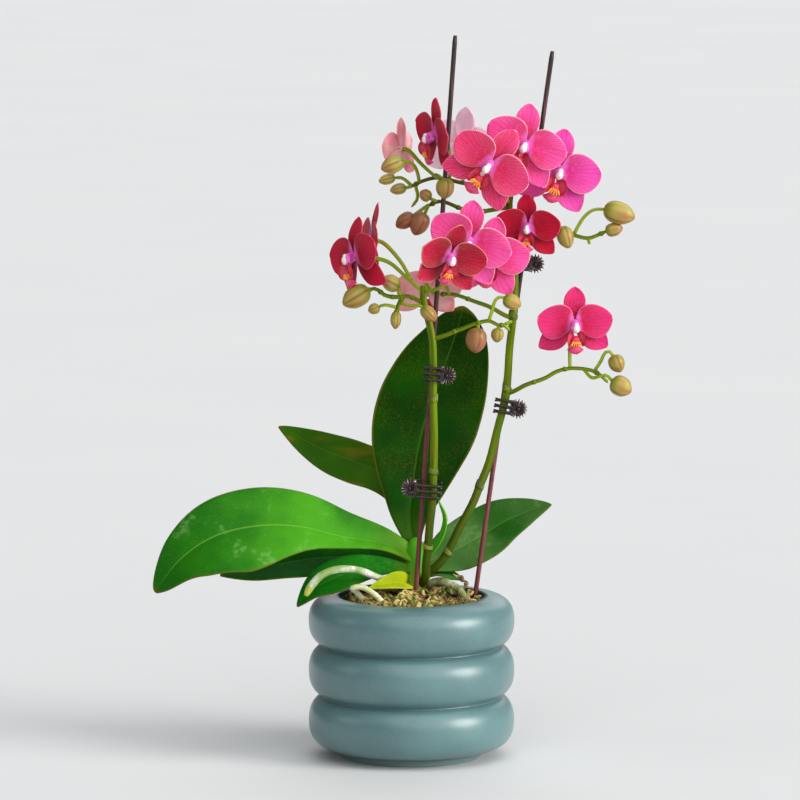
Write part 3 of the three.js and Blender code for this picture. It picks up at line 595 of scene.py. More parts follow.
def bark_chips():
    bm = new_mesh()
    for i in range(BARK_CHIPS):
        radius = MOSS_RADIUS * math.sqrt(chips_random.random()) * 0.93
        turn = chips_random.uniform(0, math.tau)
        x, y = radius * math.cos(turn), radius * math.sin(turn)
        size = chips_random.uniform(*CHIP_SIZES)
        if math.dist((x, y), CROWN_CENTRE) > CROWN_CLEARANCE:
            chip(bm, (x, y, bed_height(x, y) - 0.6), size, 1 if i % 7 == 0 else 0)
    return bm


dark_bark = bark_finish("bark_dark", tint(38, 24, 17), tint(104, 70, 44))
orange_bark = bark_finish("bark_orange", tint(120, 58, 22), tint(206, 120, 56))
finish_piece(bark_chips(), "bark_chips", [dark_bark, orange_bark], [])

# %% [markdown]
# The moss grows in tufts, and a third of its strands are strewn over the whole bed. Each
# strand wanders at random, and one large curl stands up at the right.

# %% Moss strands
STRANDS = 600
STRAND_STEP = 1.7
TUFTS = ((-14, -31, 9), (4, -37, 7), (22, -32, 8), (-1, -22, 8), (34, -20, 7), (-24, -27, 8),
         (14, -24, 6), (-35, -14, 7))
CURL = ((27.6, 2, 92), (28.2, 0.6, 97.2), (31, 1, 98.6), (31.8, 2.4, 101.6), (29.4, 2.6, 102.4),
        (29.6, 1.2, 105.2), (26.6, 1.4, 104.8), (24.4, 0.4, 106.4))
STRAND_THICKNESS = (0.4, 1.2)
STRAND_LIFT = 3.4
moss_random = random.Random(21)


def tapered(s):
    """A strand's thickness along its length, as a share: slim at both ends."""
    return math.sin(math.pi * (0.1 + 0.85 * s)) ** 0.6


def strand(whole, x, y):
    heading = moss_random.uniform(0, math.tau)
    curl = moss_random.uniform(-1.3, 1.3)
    lift = moss_random.uniform(0, STRAND_LIFT)
    route = []
    for i in range(moss_random.randint(5, 9)):
        arch = lift * math.sin(i * 0.7)
        route.append((x, y, bed_height(x, y) + 0.1 + abs(arch)))
        heading += curl + moss_random.uniform(-0.5, 0.5)
        x += STRAND_STEP * math.cos(heading)
        y += STRAND_STEP * math.sin(heading)
        if math.hypot(x, y) > MOSS_RADIUS - 1:
            break
    if len(route) > 3:
        thick = moss_random.uniform(*STRAND_THICKNESS)
        bar(whole, route, lambda s: thick * tapered(s), 5, steps=2 * len(route),
            shade=moss_random.random())


def moss_strands():
    bm = new_mesh()
    bar(bm, CURL, lambda s: (1.05 + 0.4 * math.sin(31 * s)) * tapered(s), 8, steps=36, shade=0.6)
    for i in range(STRANDS):
        if i % 3:
            x, y, spread = TUFTS[i % len(TUFTS)]
            place = (moss_random.gauss(x, spread * 0.45), moss_random.gauss(y, spread * 0.35))
        else:
            radius, turn = MOSS_RADIUS * math.sqrt(moss_random.random()), moss_random.uniform(0, math.tau)
            place = (radius * math.cos(turn), radius * math.sin(turn))
        if math.hypot(*place) < MOSS_RADIUS - 2:
            strand(bm, *place)
    return bm


def moss_finish():
    finish = Finish("curly_moss")
    shade = finish.attribute("shade")
    colour = finish.layers(
        tint(136, 102, 42),
        (shade.between(0.1, 0.5), tint(216, 192, 120)),
        (shade.between(0.68, 0.78), tint(98, 120, 34)),
        (finish.patches(85, 0.48, 0.58) * 0.8, tint(66, 48, 22)),
        (finish.patches(500, 0.5, 0.7) * 0.4, tint(126, 92, 44)))
    return finish.paint(colour, 0.9, finish.noise(1600, 2), 0.0002, 0.6)


finish_piece(moss_strands(), "moss_strands", [moss_finish()], [])

# %% [markdown]
# A moth orchid's leaf is thick and glossy. It is folded along its midrib like a shallow
# gutter, swells towards the tip and ends bluntly. The blade helper lays a grid over it.
# More columns lie near the midrib, where the groove is, and more rows near the tip.

# %% Leaves
LEAF_THICKNESS = 1.5
LEAF_COLUMNS = 18
LEAF_ROWS = 44
SMALL_LEAF = 8
LEAVES = {
    "leaf_a": dict(
        midrib=[(1, 4, 117), (-15, -2, 124.5), (-40, -8, 129.5), (-64, -12, 136), (-89, -15, 137),
                (-114.5, -17, 131), (-134, -18, 117.5), (-148.5, -18, 98.5)],
        across=(0, 0.55, 0.83), sides=[(29.5, 0.72, 1.4, 0.6), (21.5, 0.62, 0.75, 0.45)], base=5.4,
        fold=0.12, finish="bright"),
    "leaf_b": dict(
        midrib=[(1, 9, 109), (-21.5, 15, 113), (-44.5, 15, 114.5), (-71, 14, 111.5), (-94, 13, 106.5),
                (-112, 12, 104)],
        across=(0, 0.8, 0.6), sides=[(15, 0.55, 0.75, 0.75), (13, 0.55, 0.75, 0.75)], base=3.6, fold=0.12,
        finish="dark"),
    "leaf_c": dict(
        midrib=[(1.5, 7, 120), (-1, 13, 139.5), (0.5, 17, 154), (4.5, 22, 181), (10.5, 25, 201.5),
                (18, 26, 222.5), (25.5, 25, 244), (30.5, 22, 261)],
        across=(1, 0.15, 0.2), sides=[(30.5, 0.62, 0.8, 0.4)], base=3.5, fold=0.12, finish="speckled"),
    "leaf_d": dict(
        midrib=[(-1, 11, 115.5), (-1, 22, 129), (-2.5, 30, 141), (-8.5, 35, 152.5), (-19.5, 38, 162),
                (-34, 40, 167.5), (-48, 41, 172.5), (-63, 42, 179.5), (-78, 42, 188)],
        across=(0.3, 0.65, 0.65), sides=[(16, 0.64, 0.75, 0.75), (13, 0.64, 0.75, 0.75)], base=3.2,
        fold=0.15, finish="streaked"),
    "leaf_e": dict(
        midrib=[(4, 9, 110), (16.5, 18, 113.5), (28.5, 27, 118), (41.5, 33, 124.5), (56, 38, 132.5),
                (70, 40, 138), (82.5, 40, 142)],
        across=(0, -0.6, -0.75), sides=[(16, 0.55, 0.75, 0.75)], base=3.2, fold=0.15, finish="plain"),
    "leaf_f": dict(
        midrib=[(0, 2, 109), (-15.5, -6, 112), (-29, -10, 111), (-42.5, -13, 107), (-56, -15, 100.5),
                (-66.5, -16, 90)],
        across=(0.1, 0.6, 0.75), sides=[(10.5, 0.68, 0.75, 0.75)], base=2.6, fold=0.2, finish="dark"),
    "leaf_g": dict(
        midrib=[(6, 10, 102.5), (15.5, 15, 104.5), (24, 19.5, 102.5), (31, 23, 99.5)],
        across=(-0.2, -0.9, -0.2), sides=[(6, 0.55, 0.75, 0.75)], base=2.4, fold=0.2, finish="dark"),
    "leaf_young": dict(
        midrib=[(4, 9, 110), (9, 9, 117), (14, 8, 123.5), (18, 7, 132), (19, 6, 139), (16, 6, 149)],
        across=(0, 1, 0), sides=[(3, 0.5, 0.75, 0.75)], base=1.2, fold=0.8, finish="young"),
    "old_sheath": dict(
        midrib=[(-1.5, 1, 101), (-5, -9, 103), (-11, -17, 104), (-18, -23, 103.5), (-25, -27, 102.5)],
        across=(-0.3, 0.5, 0.8), sides=[(4.6, 0.45, 0.75, 0.75)], base=2.2, fold=0.65, finish="yellow"),
}


def side_width(side, base, s):
    """The width of one side of a leaf at a share of its length."""
    half_width, widest, at_base, at_tip = side
    power = math.log(0.5) / math.log(widest)
    pointed = at_base + (at_tip - at_base) * s
    return base * (1 - s) + half_width * math.sin(math.pi * min(s, 0.9985) ** power) ** pointed


def leaf_surface(leaf, phase):
    route = Route(leaf["midrib"])
    wide = Vector(leaf["across"])

    def surface(x, y):
        t = math.copysign(abs(x) ** 1.5, x)
        s = 1 - (1 - y) ** 1.6
        heading = route.heading(s)
        side = (wide - heading * wide.dot(heading)).normalized()
        face = side.cross(heading)
        width = side_width(leaf["sides"][0 if t < 0 else -1], leaf["base"], s)
        point = route.at(s) + side * (t * width) - heading * (0.35 * width * t * t * s)
        gutter = leaf["fold"] * width * (math.sqrt(t * t + 0.004) - 0.063 - 0.12 * t ** 4)
        groove = -0.7 * math.exp(-(t * width / 1.4) ** 2) * (1 - s) ** 0.4
        wave = 0.035 * width * t * t * math.sin(9 * s + phase + (1.3 if t > 0 else 0))
        return point + face * (gutter + groove + wave), t, s, 0

    return surface


print("leaves:", ", ".join(LEAVES))

# %% [markdown]
# The leaf's colour follows its own lines: a pale midrib, faint long veins, a paler foot
# and a thin brownish edge. The two upright leaves also have fine olive specks, one of
# them has brown streaks, and several leaves have pale dry marks. The underside is paler
# and less glossy.


# %% Leaf finishes
def leaf_finish(name, light, dark, speck=0.0, marks=0.0, streak=0.0, edge=tint(98, 84, 10), rib=0.4,
                tip=0.3, gloss=0.05, foot=0.5):
    finish = Finish(name, Specular_IOR_Level=gloss)
    along, across = finish.attribute("along"), finish.attribute("across")
    cloud = finish.noise(26, 3)
    lines = (across + finish.noise(60, 2) * 0.02).stripes(34).between(0.55, 1)
    coats = [
        (cloud.between(0.3, 0.7), light),
        (lines * 0.12, light),
        # Painted shade: the blade darkens towards its tip, as much as the tip setting asks.
        (along.between(0.35, 0.95) * tip, dark),
        (abs(across).between(0.035, 0.004) * rib, tint(126, 182, 70)),
        (along.between(0.2, 0.0) * foot, tint(120, 160, 40)),
        (abs(across).larger(along).between(0.972, 0.998) * 0.6, edge)]
    roughness = 0.36 + cloud * 0.12
    if streak:
        brush = finish.noise(40, 3, (0.5, 1, 3)).between(0.5, 0.66)
        coats.append((brush * streak, tint(132, 108, 20)))
    if speck:
        dots = finish.patches(1700, 0.5, 0.66) * finish.patches(34, 0.3, 0.6, 2)
        coats.append((dots * speck, tint(96, 92, 6)))
    if marks:
        stain = finish.patches(52, 0.6, 0.68, 2) * finish.patches(300, 0.45, 0.6, 5)
        coats.append((finish.patches(1500, 0.6, 0.72) * 0.16, tint(170, 206, 140)))
        coats.append((stain * marks, tint(150, 186, 120)))
        roughness = roughness + stain * 0.3
    relief = lines * 0.5 + finish.noise(380, 3) * 0.5
    return finish.paint(finish.layers(dark, *coats), roughness, relief, 0.00015, 0.35)


def underside(name, light, dark):
    finish = Finish(name, Specular_IOR_Level=0.1)
    keel = abs(finish.attribute("across")).between(0.06, 0.01)
    colour = finish.layers(dark, (finish.patches(40, 0.3, 0.7), light), (keel * 0.5, tint(120, 156, 70)))
    return finish.paint(colour, 0.5, finish.noise(500, 3), 0.00015, 0.3)


leaf_under = underside("leaf_underside", tint(70, 112, 36), tint(48, 88, 24))
leaf_finishes = {
    # The bright leaf has strong painted shade towards its tip.
    "bright": leaf_finish("leaf_bright", tint(66, 150, 10), tint(12, 98, 0), marks=0.22, tip=0.8,
                          gloss=0.12),
    "dark": leaf_finish("leaf_dark", tint(18, 114, 8), tint(4, 80, 4), marks=0.05, rib=0.25),
    "speckled": leaf_finish("leaf_speckled", tint(18, 76, 0), tint(3, 50, 0), speck=0.45,
                            edge=tint(120, 110, 10), rib=0.12, foot=0.12),
    "streaked": leaf_finish("leaf_streaked", tint(58, 108, 3), tint(32, 84, 2), speck=0.3, streak=0.4,
                            rib=0.2),
    "plain": leaf_finish("leaf_plain", tint(72, 114, 52), tint(24, 82, 12), marks=0.12, rib=0.25),
    "young": leaf_finish("leaf_fresh", tint(104, 190, 30), tint(72, 164, 16), rib=0.2,
                         edge=tint(110, 180, 40)),
    "yellow": leaf_finish("leaf_yellow", tint(196, 200, 30), tint(134, 156, 14), edge=tint(196, 176, 96)),
}
undersides = {
    "yellow": underside("sheath_underside", tint(206, 192, 60), tint(160, 150, 30)),
    "young": underside("fresh_underside", tint(104, 186, 44), tint(72, 160, 26)),
}
print("leaf finishes:", ", ".join(leaf_finishes))

# %% [markdown]
# A small leaf gets half as many columns and rows, and it is thinner.

# %% Dressed leaves
for phase, (name, leaf) in enumerate(LEAVES.items()):
    leaf_mesh = new_mesh()
    half_width = leaf["sides"][0][0]
    share = 2 if half_width < SMALL_LEAF else 1
    blade(leaf_mesh, leaf_surface(leaf, phase * 1.7), LEAF_COLUMNS // share, LEAF_ROWS // share)
    skins = [leaf_finishes[leaf["finish"]], undersides.get(leaf["finish"], leaf_under)]
    finish_piece(leaf_mesh, name + "_blade", skins, [name],
                 thickness=min(LEAF_THICKNESS, 0.9 + half_width / 20), levels=1)

# %% [markdown]
# The leaves clasp a short stem, one over another, left and right in turn. Each clasp is
# a flattened body that overlaps the one below it.

# %% Crown
CROWN_PROFILE = [(0, 84), (8, 84), (9, 104), (7.6, 115), (6, 122), (3.5, 126.5), (0, 127.5)]
CORE_SHARE = 0.82
CLASPS = 6
CLASP_FOOT = 96
CLASP_STEP = 4.4
CLASP_SIZE = 8.2
CLASP_SHRINK = 0.75
CLASP_LEAN = 1.6
CLASP_HALF_HEIGHT = 7


def crown():
    bm = new_mesh()
    outline = [(radius * CORE_SHARE, z) for radius, z in CROWN_PROFILE]
    core = spun(outline, 40)
    bmesh.ops.translate(core, vec=(*CROWN_CENTRE, 0), verts=core.verts)
    absorb(bm, core)
    for i in range(CLASPS):
        side = 1 if i % 2 else -1
        centre = Vector((*CROWN_CENTRE, CLASP_FOOT + CLASP_STEP * i))
        size = CLASP_SIZE - CLASP_SHRINK * i

        def clasp(x, y, z, side=side, centre=centre, size=size):
            lean = side * CLASP_LEAN * (z + 1)
            return centre + Vector((x * size + lean, y * size * 0.85, z * CLASP_HALF_HEIGHT))

        body(bm, clasp, 24, 14, shade=i / CLASPS)
    return bm


def crown_finish():
    finish = Finish("crown_green", Specular_IOR_Level=0.2)
    along, across = finish.attribute("along"), finish.attribute("across")
    streak = (across + finish.noise(90, 2) * 0.03).stripes(30).between(0.4, 1)
    colour = finish.layers(
        tint(142, 176, 56),
        (finish.height().between(94, 116), tint(74, 156, 18)),
        (along.between(0.5, 1.0) * 0.4, tint(60, 138, 12)),
        (streak * 0.25, tint(62, 128, 18)),
        (finish.patches(140, 0.6, 0.8) * 0.25, tint(128, 106, 48)))
    return finish.paint(colour, 0.42, streak, 0.0002, 0.4)


finish_piece(crown(), "crown_clasps", [crown_finish()], ["crown_stem"])

# %% [markdown]
# The roots have a spongy silver skin that turns green where it is wet. Their thickness
# varies a little along their length, and each ends in a smooth tip.

# %% Roots
ROOT_SIDES = 16
ROOT_STEPS = 60
ROOTS = {
    "root_silver": dict(
        route=[(0, 5, 100), (-10, -5.5, 102), (-19, -17.5, 107), (-31, -24, 112.5), (-42.5, -27.5, 113.5),
               (-51.5, -29, 110.5), (-58, -30, 104), (-61, -30, 98.5)], radius=(1.8, 2.3)),
    "root_loop": dict(
        route=[(-15, -27, 92), (-22, -28.5, 99.5), (-29, -30, 103.5), (-34, -30.5, 103), (-32, -26, 100),
               (-27, -21, 93)], radius=(1.8, 1.6)),
    "root_mossy": dict(
        route=[(8, 6, 98), (15, -2, 102.5), (21, -8, 102.5), (28, -13, 99), (32.5, -15, 92)],
        radius=(2.5, 2.1)),
}


def root_finish(name, pale, green, tip, stain=0.0):
    finish = Finish(name)
    cloud = finish.noise(110, 3)
    colour = finish.layers(
        pale,
        (cloud.between(0.4, 0.62), green),
        (finish.patches(700, 0.5, 0.7) * 0.4, tint(132, 118, 84)),
        (finish.patches(200, 0.48, 0.58, 4) * stain, tint(84, 84, 34)),
        (finish.attribute("along").between(0.88, 0.99), tip))
    return finish.paint(colour, 0.6, cloud + finish.noise(900, 3) * 0.6, 0.0004, 0.6)


silver = root_finish("root_silver", tint(214, 218, 200), tint(136, 164, 92), tint(190, 196, 78))
pale = root_finish("root_pale", tint(226, 224, 190), tint(190, 200, 140), tint(214, 210, 160))
mossy = root_finish("root_mossy", tint(186, 186, 150), tint(116, 130, 64), tint(120, 118, 66), 0.8)

for (name, root), skin in zip(ROOTS.items(), (silver, pale, mossy)):
    root_mesh = new_mesh()
    start, end = root["radius"]

    def root_radius(s, start=start, end=end):
        uneven = 1 + 0.09 * noise.noise(Vector((s * 9, start, 0)))
        return (start + (end - start) * s) * uneven * min(1, (1.02 - s) * 14) ** 0.5

    bar(root_mesh, root["route"], root_radius, ROOT_SIDES, steps=ROOT_STEPS)
    finish_piece(root_mesh, name + "_skin", [skin], [name])

# %% [markdown]
# The stakes are dark sticks with a thin purple-brown skin. Scratches run along them, and
# the upper ends are darker.

# %% Stakes
STAKE_RADIUS = 1.4
STAKE_SIDES = 20
STAKE_STEPS = 90
STAKE_LINES = (((-0.1, -5, 60), (25, -5, 420)), ((32.9, 14, 60), (81.4, 14, 410)))


def stake_finish():
    finish = Finish("stake_skin", Specular_IOR_Level=0.5)
    streak = finish.noise(500, 3, (1, 1, 0.05))
    colour = finish.layers(
        tint(42, 20, 22),
        (finish.height().between(320, 150), tint(108, 44, 46)),
        (streak.between(0.52, 0.66) * 0.45, tint(138, 84, 82)),
        (finish.patches(240, 0.6, 0.7, 2) * 0.5, tint(36, 22, 26)))
    return finish.paint(colour, 0.42 + streak * 0.15, streak, 0.00015, 0.5)


def stake_radius(s):
    return STAKE_RADIUS * min(1, 0.75 + (1 - s) * 120)


stake_skin = stake_finish()
for i, (foot, top) in enumerate(STAKE_LINES, 1):
    stake_mesh = new_mesh()
    middle = tuple((a + b) / 2 for a, b in zip(foot, top))
    bar(stake_mesh, (foot, middle, top), stake_radius, STAKE_SIDES, steps=STAKE_STEPS)
    finish_piece(stake_mesh, f"stake_{i}_stick", [stake_skin], [f"stake_{i}"])

# %% [markdown]
# A bloom has three sepals behind, two broad petals in front, a lip and a column. The
# tepals are blades in the bloom's own frame, with x to the right, y up and z towards the
# viewer. Their outline is a rounded power of a sine, full at the middle and round at
# the tip, and each has its own slight wave.

# %% Blooms
TEPAL_THICKNESS = 0.7
HUB_RADIUS = 2.4
DORSAL = dict(length=23.6, half_width=6.9, widest=(0.6, 0.6), tip=0.62, lift=-0.6, bend=-1)
LATERAL = dict(length=25.8, half_width=7.6, widest=(0.56, 0.56), tip=0.72, lift=-0.6, bend=-1.2)
PETAL = dict(length=23.8, half_width=11, widest=(0.42, 0.56), tip=0.55, lift=0.9, bend=0.8)
LATERAL_ANGLE = 132
PETAL_ANGLE = 79
TEPAL_COLUMNS = 12
TEPAL_ROWS = 16
BLOOMS = [
    dict(at=(44.3, -24, 346.8), yaw=-8, nod=6, roll=38, size=1.06, lateral=130, finish="coral",
         pedicel=[(56.5, 9, 322), (50, -6, 338)]),
    dict(at=(65.2, -9, 356.9), yaw=-5, nod=0, roll=22, size=1.03, dorsal=-16, lateral=133, finish="rose",
         pedicel=[(58, 8, 331), (57, 5, 345), (58.5, 0, 353.5)]),
    dict(at=(85, 5, 341.2), yaw=5, nod=4, roll=18, size=1.05, dorsal=-10, lateral=135, finish="magenta",
         pedicel=[(58, 8, 331), (70, 9.5, 336)]),
    dict(at=(67.2, 1, 309), yaw=-8, nod=4, roll=3, size=0.82, cup=2, dorsal=-6, finish="shaded_crimson",
         pedicel=[(59, 9.5, 300)]),
    dict(at=(33, -22, 302.2), yaw=-4, nod=8, roll=25, size=1.05, dorsal=-19, lateral=130, finish="rose",
         pedicel=[(22, 2, 270), (19, -8, 280), (20, -17, 291)]),
    dict(at=(21.3, -40, 295.3), yaw=20, nod=12, roll=13, size=0.88, cup=6, finish="hooded",
         pedicel=[(7, -9.5, 273), (15, -16, 275), (20, -26, 282)]),
    dict(at=(44.5, -7, 292.5), yaw=2, nod=4, roll=8, size=1, dorsal=4, lateral=142, finish="rose",
         pedicel=[(60, 9.5, 275), (55, 4, 278)]),
    dict(at=(-32.3, -12, 292.5), yaw=-55, nod=0, roll=-12, size=1, reflex=4, finish="shaded_crimson",
         pedicel=[(7, -9.5, 272), (-2, -10, 280), (-14, -8, 290)]),
    dict(at=(-23, 14, 300), yaw=-78, nod=-5, roll=3, size=0.95, finish="shaded_crimson",
         pedicel=[(0, -10, 279), (-7, 1, 290)]),
    dict(at=(-6.4, 12, 353.4), yaw=-118, nod=0, roll=0, size=0.78, cup=1, finish="coral", back="salmon",
         pedicel=[(14.5, 3, 337.5), (6, 4, 345)]),
    dict(at=(14.2, -2, 362), yaw=-66, nod=5, roll=8, size=0.95, cup=1, finish="shaded_crimson",
         pedicel=[(22, 3, 336), (22, 2, 348)]),
    dict(at=(29, 26, 355), yaw=150, nod=0, roll=-12, size=0.95, finish="rose", back="lilac",
         pedicel=[(29.5, 3, 334.5), (30, 10, 345)]),
    dict(at=(94.3, 0, 252.5), yaw=8, nod=5, roll=0, size=0.94, lateral=124, finish="cherry",
         pedicel=[(92, 5, 226.5), (92, 8, 238)]),
    dict(at=(9.5, 12, 273), yaw=170, nod=30, roll=0, size=0.85, cup=1, finish="rose", back="salmon",
         pedicel=[(17, 2, 270), (12, 3, 271)]),
]
bloom_random = random.Random(3)


def facing(bloom):
    """The turn that carries a bloom's own frame to the plant's."""
    yaw, tilt, roll = (math.radians(turn) for turn in (bloom["yaw"], 90 + bloom["nod"], bloom["roll"]))
    turn = Quaternion((0, 0, 1), yaw) @ Quaternion((1, 0, 0), tilt) @ Quaternion((0, 0, 1), -roll)
    return Matrix.Translation(bloom["at"]) @ turn.to_matrix().to_4x4() @ Matrix.Scale(bloom["size"], 4)


def tepal_surface(tepal, angle, cup, back, wave):
    sine, cosine = math.sin(math.radians(angle)), math.cos(math.radians(angle))
    upper = 1 if angle < 0 else -1

    def surface(x, y):
        t = math.copysign(abs(x) ** 0.9, x)
        s = 1 - (1 - y) ** 1.7
        widest = tepal["widest"][0 if t * upper > 0 else 1]
        power = math.log(0.5) / math.log(widest)
        full = math.sin(math.pi * min(max(s, 0.004), 0.9985) ** power) ** tepal["tip"]
        width = tepal["half_width"] * (0.12 * (1 - s) ** 2 + full)
        reach = 1 + (tepal["length"] - 1) * s
        side = t * width
        rise = tepal["lift"] + (tepal["bend"] + cup - back) * s * s
        rise += (0.05 + 0.015 * cup) * width * t * t
        rise += 0.45 * s * math.sin(3.1 * t + wave) * abs(t)
        rise -= 0.4 * math.exp(-(t / 0.13) ** 2) * s * (1 - s)
        rise += 0.35 * t * t * math.sin(7 * s + wave * 3)
        fan = side / (0.22 * tepal["length"] + reach)
        return Vector((reach * sine + side * cosine, reach * cosine - side * sine, rise)), t, s, fan

    return surface


def tepals(bloom):
    bm = new_mesh()
    cup, back = bloom.get("cup", 0), bloom.get("reflex", 0)
    lateral = bloom.get("lateral", LATERAL_ANGLE)
    placed = [(DORSAL, bloom.get("dorsal", 0), back), (LATERAL, -lateral, back), (LATERAL, lateral, back),
              (PETAL, -PETAL_ANGLE, 0), (PETAL, PETAL_ANGLE, 0)]
    for tepal, angle, bent in placed:
        surface = tepal_surface(tepal, angle, cup, bent, bloom_random.uniform(0, math.tau))
        blade(bm, surface, TEPAL_COLUMNS, TEPAL_ROWS, shade=0.0 if tepal is PETAL else 1.0)
    bmesh.ops.transform(bm, matrix=facing(bloom), verts=bm.verts)
    return bm


print("blooms:", len(BLOOMS))

# %% [markdown]
# The lip is the orchid's landing place. Two red side lobes stand up like ears, orange
# fingers mark the way between them, and a narrow pink lobe points down. The column
# above holds a white cap. All are rounded bodies, flattened and bent.

# %% Lip and column
LOBE, CALLUS, COLUMN, CAP, SPOT, HUB = range(6)
EAR_CENTRE = Vector((4.3, -7.4, 6.5))
EAR_OUT = Vector((0.75, 0.05, 0.66))
EAR_UP = Vector((-0.1, 1, 0.05))
EAR_HALF_WIDTH = 3.2
EAR_HALF_HEIGHT = 4.8
FINGERS = 5
FINGER_SPLAY = 17
FINGER_PITCH = 1.25
FINGER_RADII = (0.6, 1.9, 0.75)
COLUMN_ROUTE = [(0, 1.6, -0.5), (0, 1.2, 3), (0, -0.2, 6.6)]
COLUMN_EGGS = [
    ((0, -0.9, 6.2), (3.2, 3.3, 2.3), 18, 12, COLUMN), ((0, -1.2, 7.9), (1.95, 2.5, 1.5), 18, 12, CAP),
    ((0, 0.9, 7.3), (1.5, 1.7, 1.3), 14, 10, CAP), ((0, -2.1, 9.35), (0.7, 0.55, 0.3), 10, 6, SPOT),
    ((0, 0, -1), (HUB_RADIUS, HUB_RADIUS, 1.6), 16, 8, HUB),
]


def lip(bloom):
    bm = new_mesh()
    for sign in (-1, 1):
        def ear(x, y, z, sign=sign):
            inward = EAR_OUT.cross(EAR_UP).normalized()
            bent = inward * (1.6 * x * x + 1.1 * y * y + 0.3 * z)
            point = EAR_CENTRE + EAR_OUT * (EAR_HALF_WIDTH * x) + EAR_UP * (EAR_HALF_HEIGHT * y) + bent
            return Vector((sign * point.x, point.y, point.z))

        body(bm, ear, 24, 12, material=LOBE, shade=0.2)
        body(bm, egg((sign * 1.9, -1.2, 4.6), (1.0, 1.9, 2.6)), 12, 8, material=COLUMN)

    def tongue(x, y, z):
        s = (1 - y) / 2
        wide = 2.0 + 3.6 * math.exp(-((s - 0.66) / 0.2) ** 2)
        across = x * wide
        notch = 0.9 * (1 - abs(x)) ** 2 * s
        arch = 1.4 * math.sin(math.pi * s) - 0.1 * across ** 2
        return Vector((across, -8.6 - 9.6 * s + notch, 6 + arch + 0.4 * z))

    body(bm, tongue, 24, 16, material=LOBE, shade=0.9)
    body(bm, egg((0, -8.6, 6.2), (3.1, 2.8, 1.7)), 16, 10, material=LOBE, shade=0.3)
    for i in range(-(FINGERS // 2), FINGERS // 2 + 1):
        splay = math.radians(FINGER_SPLAY * i)

        def finger(x, y, z, i=i, splay=splay):
            point = Vector(radius * v for radius, v in zip(FINGER_RADII, (x, y, z)))
            turned = Matrix.Rotation(splay, 3, "Z") @ point
            return Vector((FINGER_PITCH * i, -10.9 + 0.12 * i * i, 8.2 - 0.12 * i * i)) + turned

        body(bm, finger, 10, 8, material=CALLUS)
    bar(bm, COLUMN_ROUTE, lambda s: 1.9 + 0.5 * s, 12, steps=8, material=COLUMN)
    for centre, radii, columns, rows, material in COLUMN_EGGS:
        body(bm, egg(centre, radii), columns, rows, material=material)
    bmesh.ops.transform(bm, matrix=facing(bloom), verts=bm.verts)
    return bm


# %% [markdown]
# A petal's veins fan out from its base. They follow the fan attribute, which stays the
# same along each line from a point behind the base. Dark veins branch towards the tip,
# pale streaks run between them, and a thin pale margin goes round. Tiny cells make it
# sparkle like velvet. The back is paler, with a yellowish line down its middle.


# %% Petal finishes
def veins(finish, along):
    fan = finish.attribute("fan") + finish.noise(70, 3) * 0.09
    main = fan.stripes(9).between(0.7, 1.0)
    fine = (fan + finish.noise(240, 3) * 0.04).stripes(27).between(0.6, 1.0) * along.between(0.15, 0.6)
    return main.larger(fine * 0.8)


def petal_finish(name, light, base, deep, margin=tint(252, 176, 196), rim_width=0.93):
    finish = Finish(name, Sheen_Weight=0.06, Sheen_Roughness=0.4, Subsurface_Weight=0.08,
                    Subsurface_Scale=0.002, Specular_IOR_Level=0.12)
    along, across, fan, sepal = (finish.attribute(key) for key in ("along", "across", "fan", "shade"))
    lines = veins(finish, along)
    pale = (fan + finish.noise(180, 3) * 0.07).stripes(19).between(0.5, 1.0)
    throat = (along + finish.noise(400, 3) * 0.12).between(0.27, 0.12) * (1 - sepal * 0.55)
    rim = abs(across).between(rim_width, 1.0).larger(along.between(0.97, 1.0))
    colour = finish.layers(
        base,
        (along.between(0.1, 0.85), light),
        (finish.patches(60, 0.42, 0.7) * 0.5, base),
        (along.between(0.8, 0.1) * (0.25 + lines * 0.3 + sepal * 0.45), deep),
        (finish.patches(420, 0.45, 0.72, 4) * 0.4, light),
        (finish.patches(1100, 0.45, 0.8) * 0.1, margin),
        (pale * (0.08 + abs(across).between(0.2, 1.0) * 0.3), margin),
        (lines * 0.24, deep),
        (throat * 0.7, tint(232, 122, 208)),
        (rim * 0.75, margin))
    cells = finish.noise(2600, 2)
    return finish.paint(colour, 0.5 + cells * 0.12, cells * 0.4 - lines * 0.5, 0.0002, 0.5)


def petal_back(name, pale, flush, edge):
    finish = Finish(name, Sheen_Weight=0.08, Subsurface_Weight=0.08, Subsurface_Scale=0.002,
                    Specular_IOR_Level=0.25)
    along, across = finish.attribute("along"), finish.attribute("across")
    colour = finish.layers(
        pale,
        (finish.patches(60, 0.35, 0.7), flush),
        (veins(finish, along) * 0.35, flush),
        (abs(across).between(0.12, 0.0) * 0.3, tint(214, 196, 150)),
        (abs(across).larger(along).between(0.8, 1.0) * 0.6, edge))
    return finish.paint(colour, 0.55, finish.noise(2600, 2), 0.0001, 0.4)


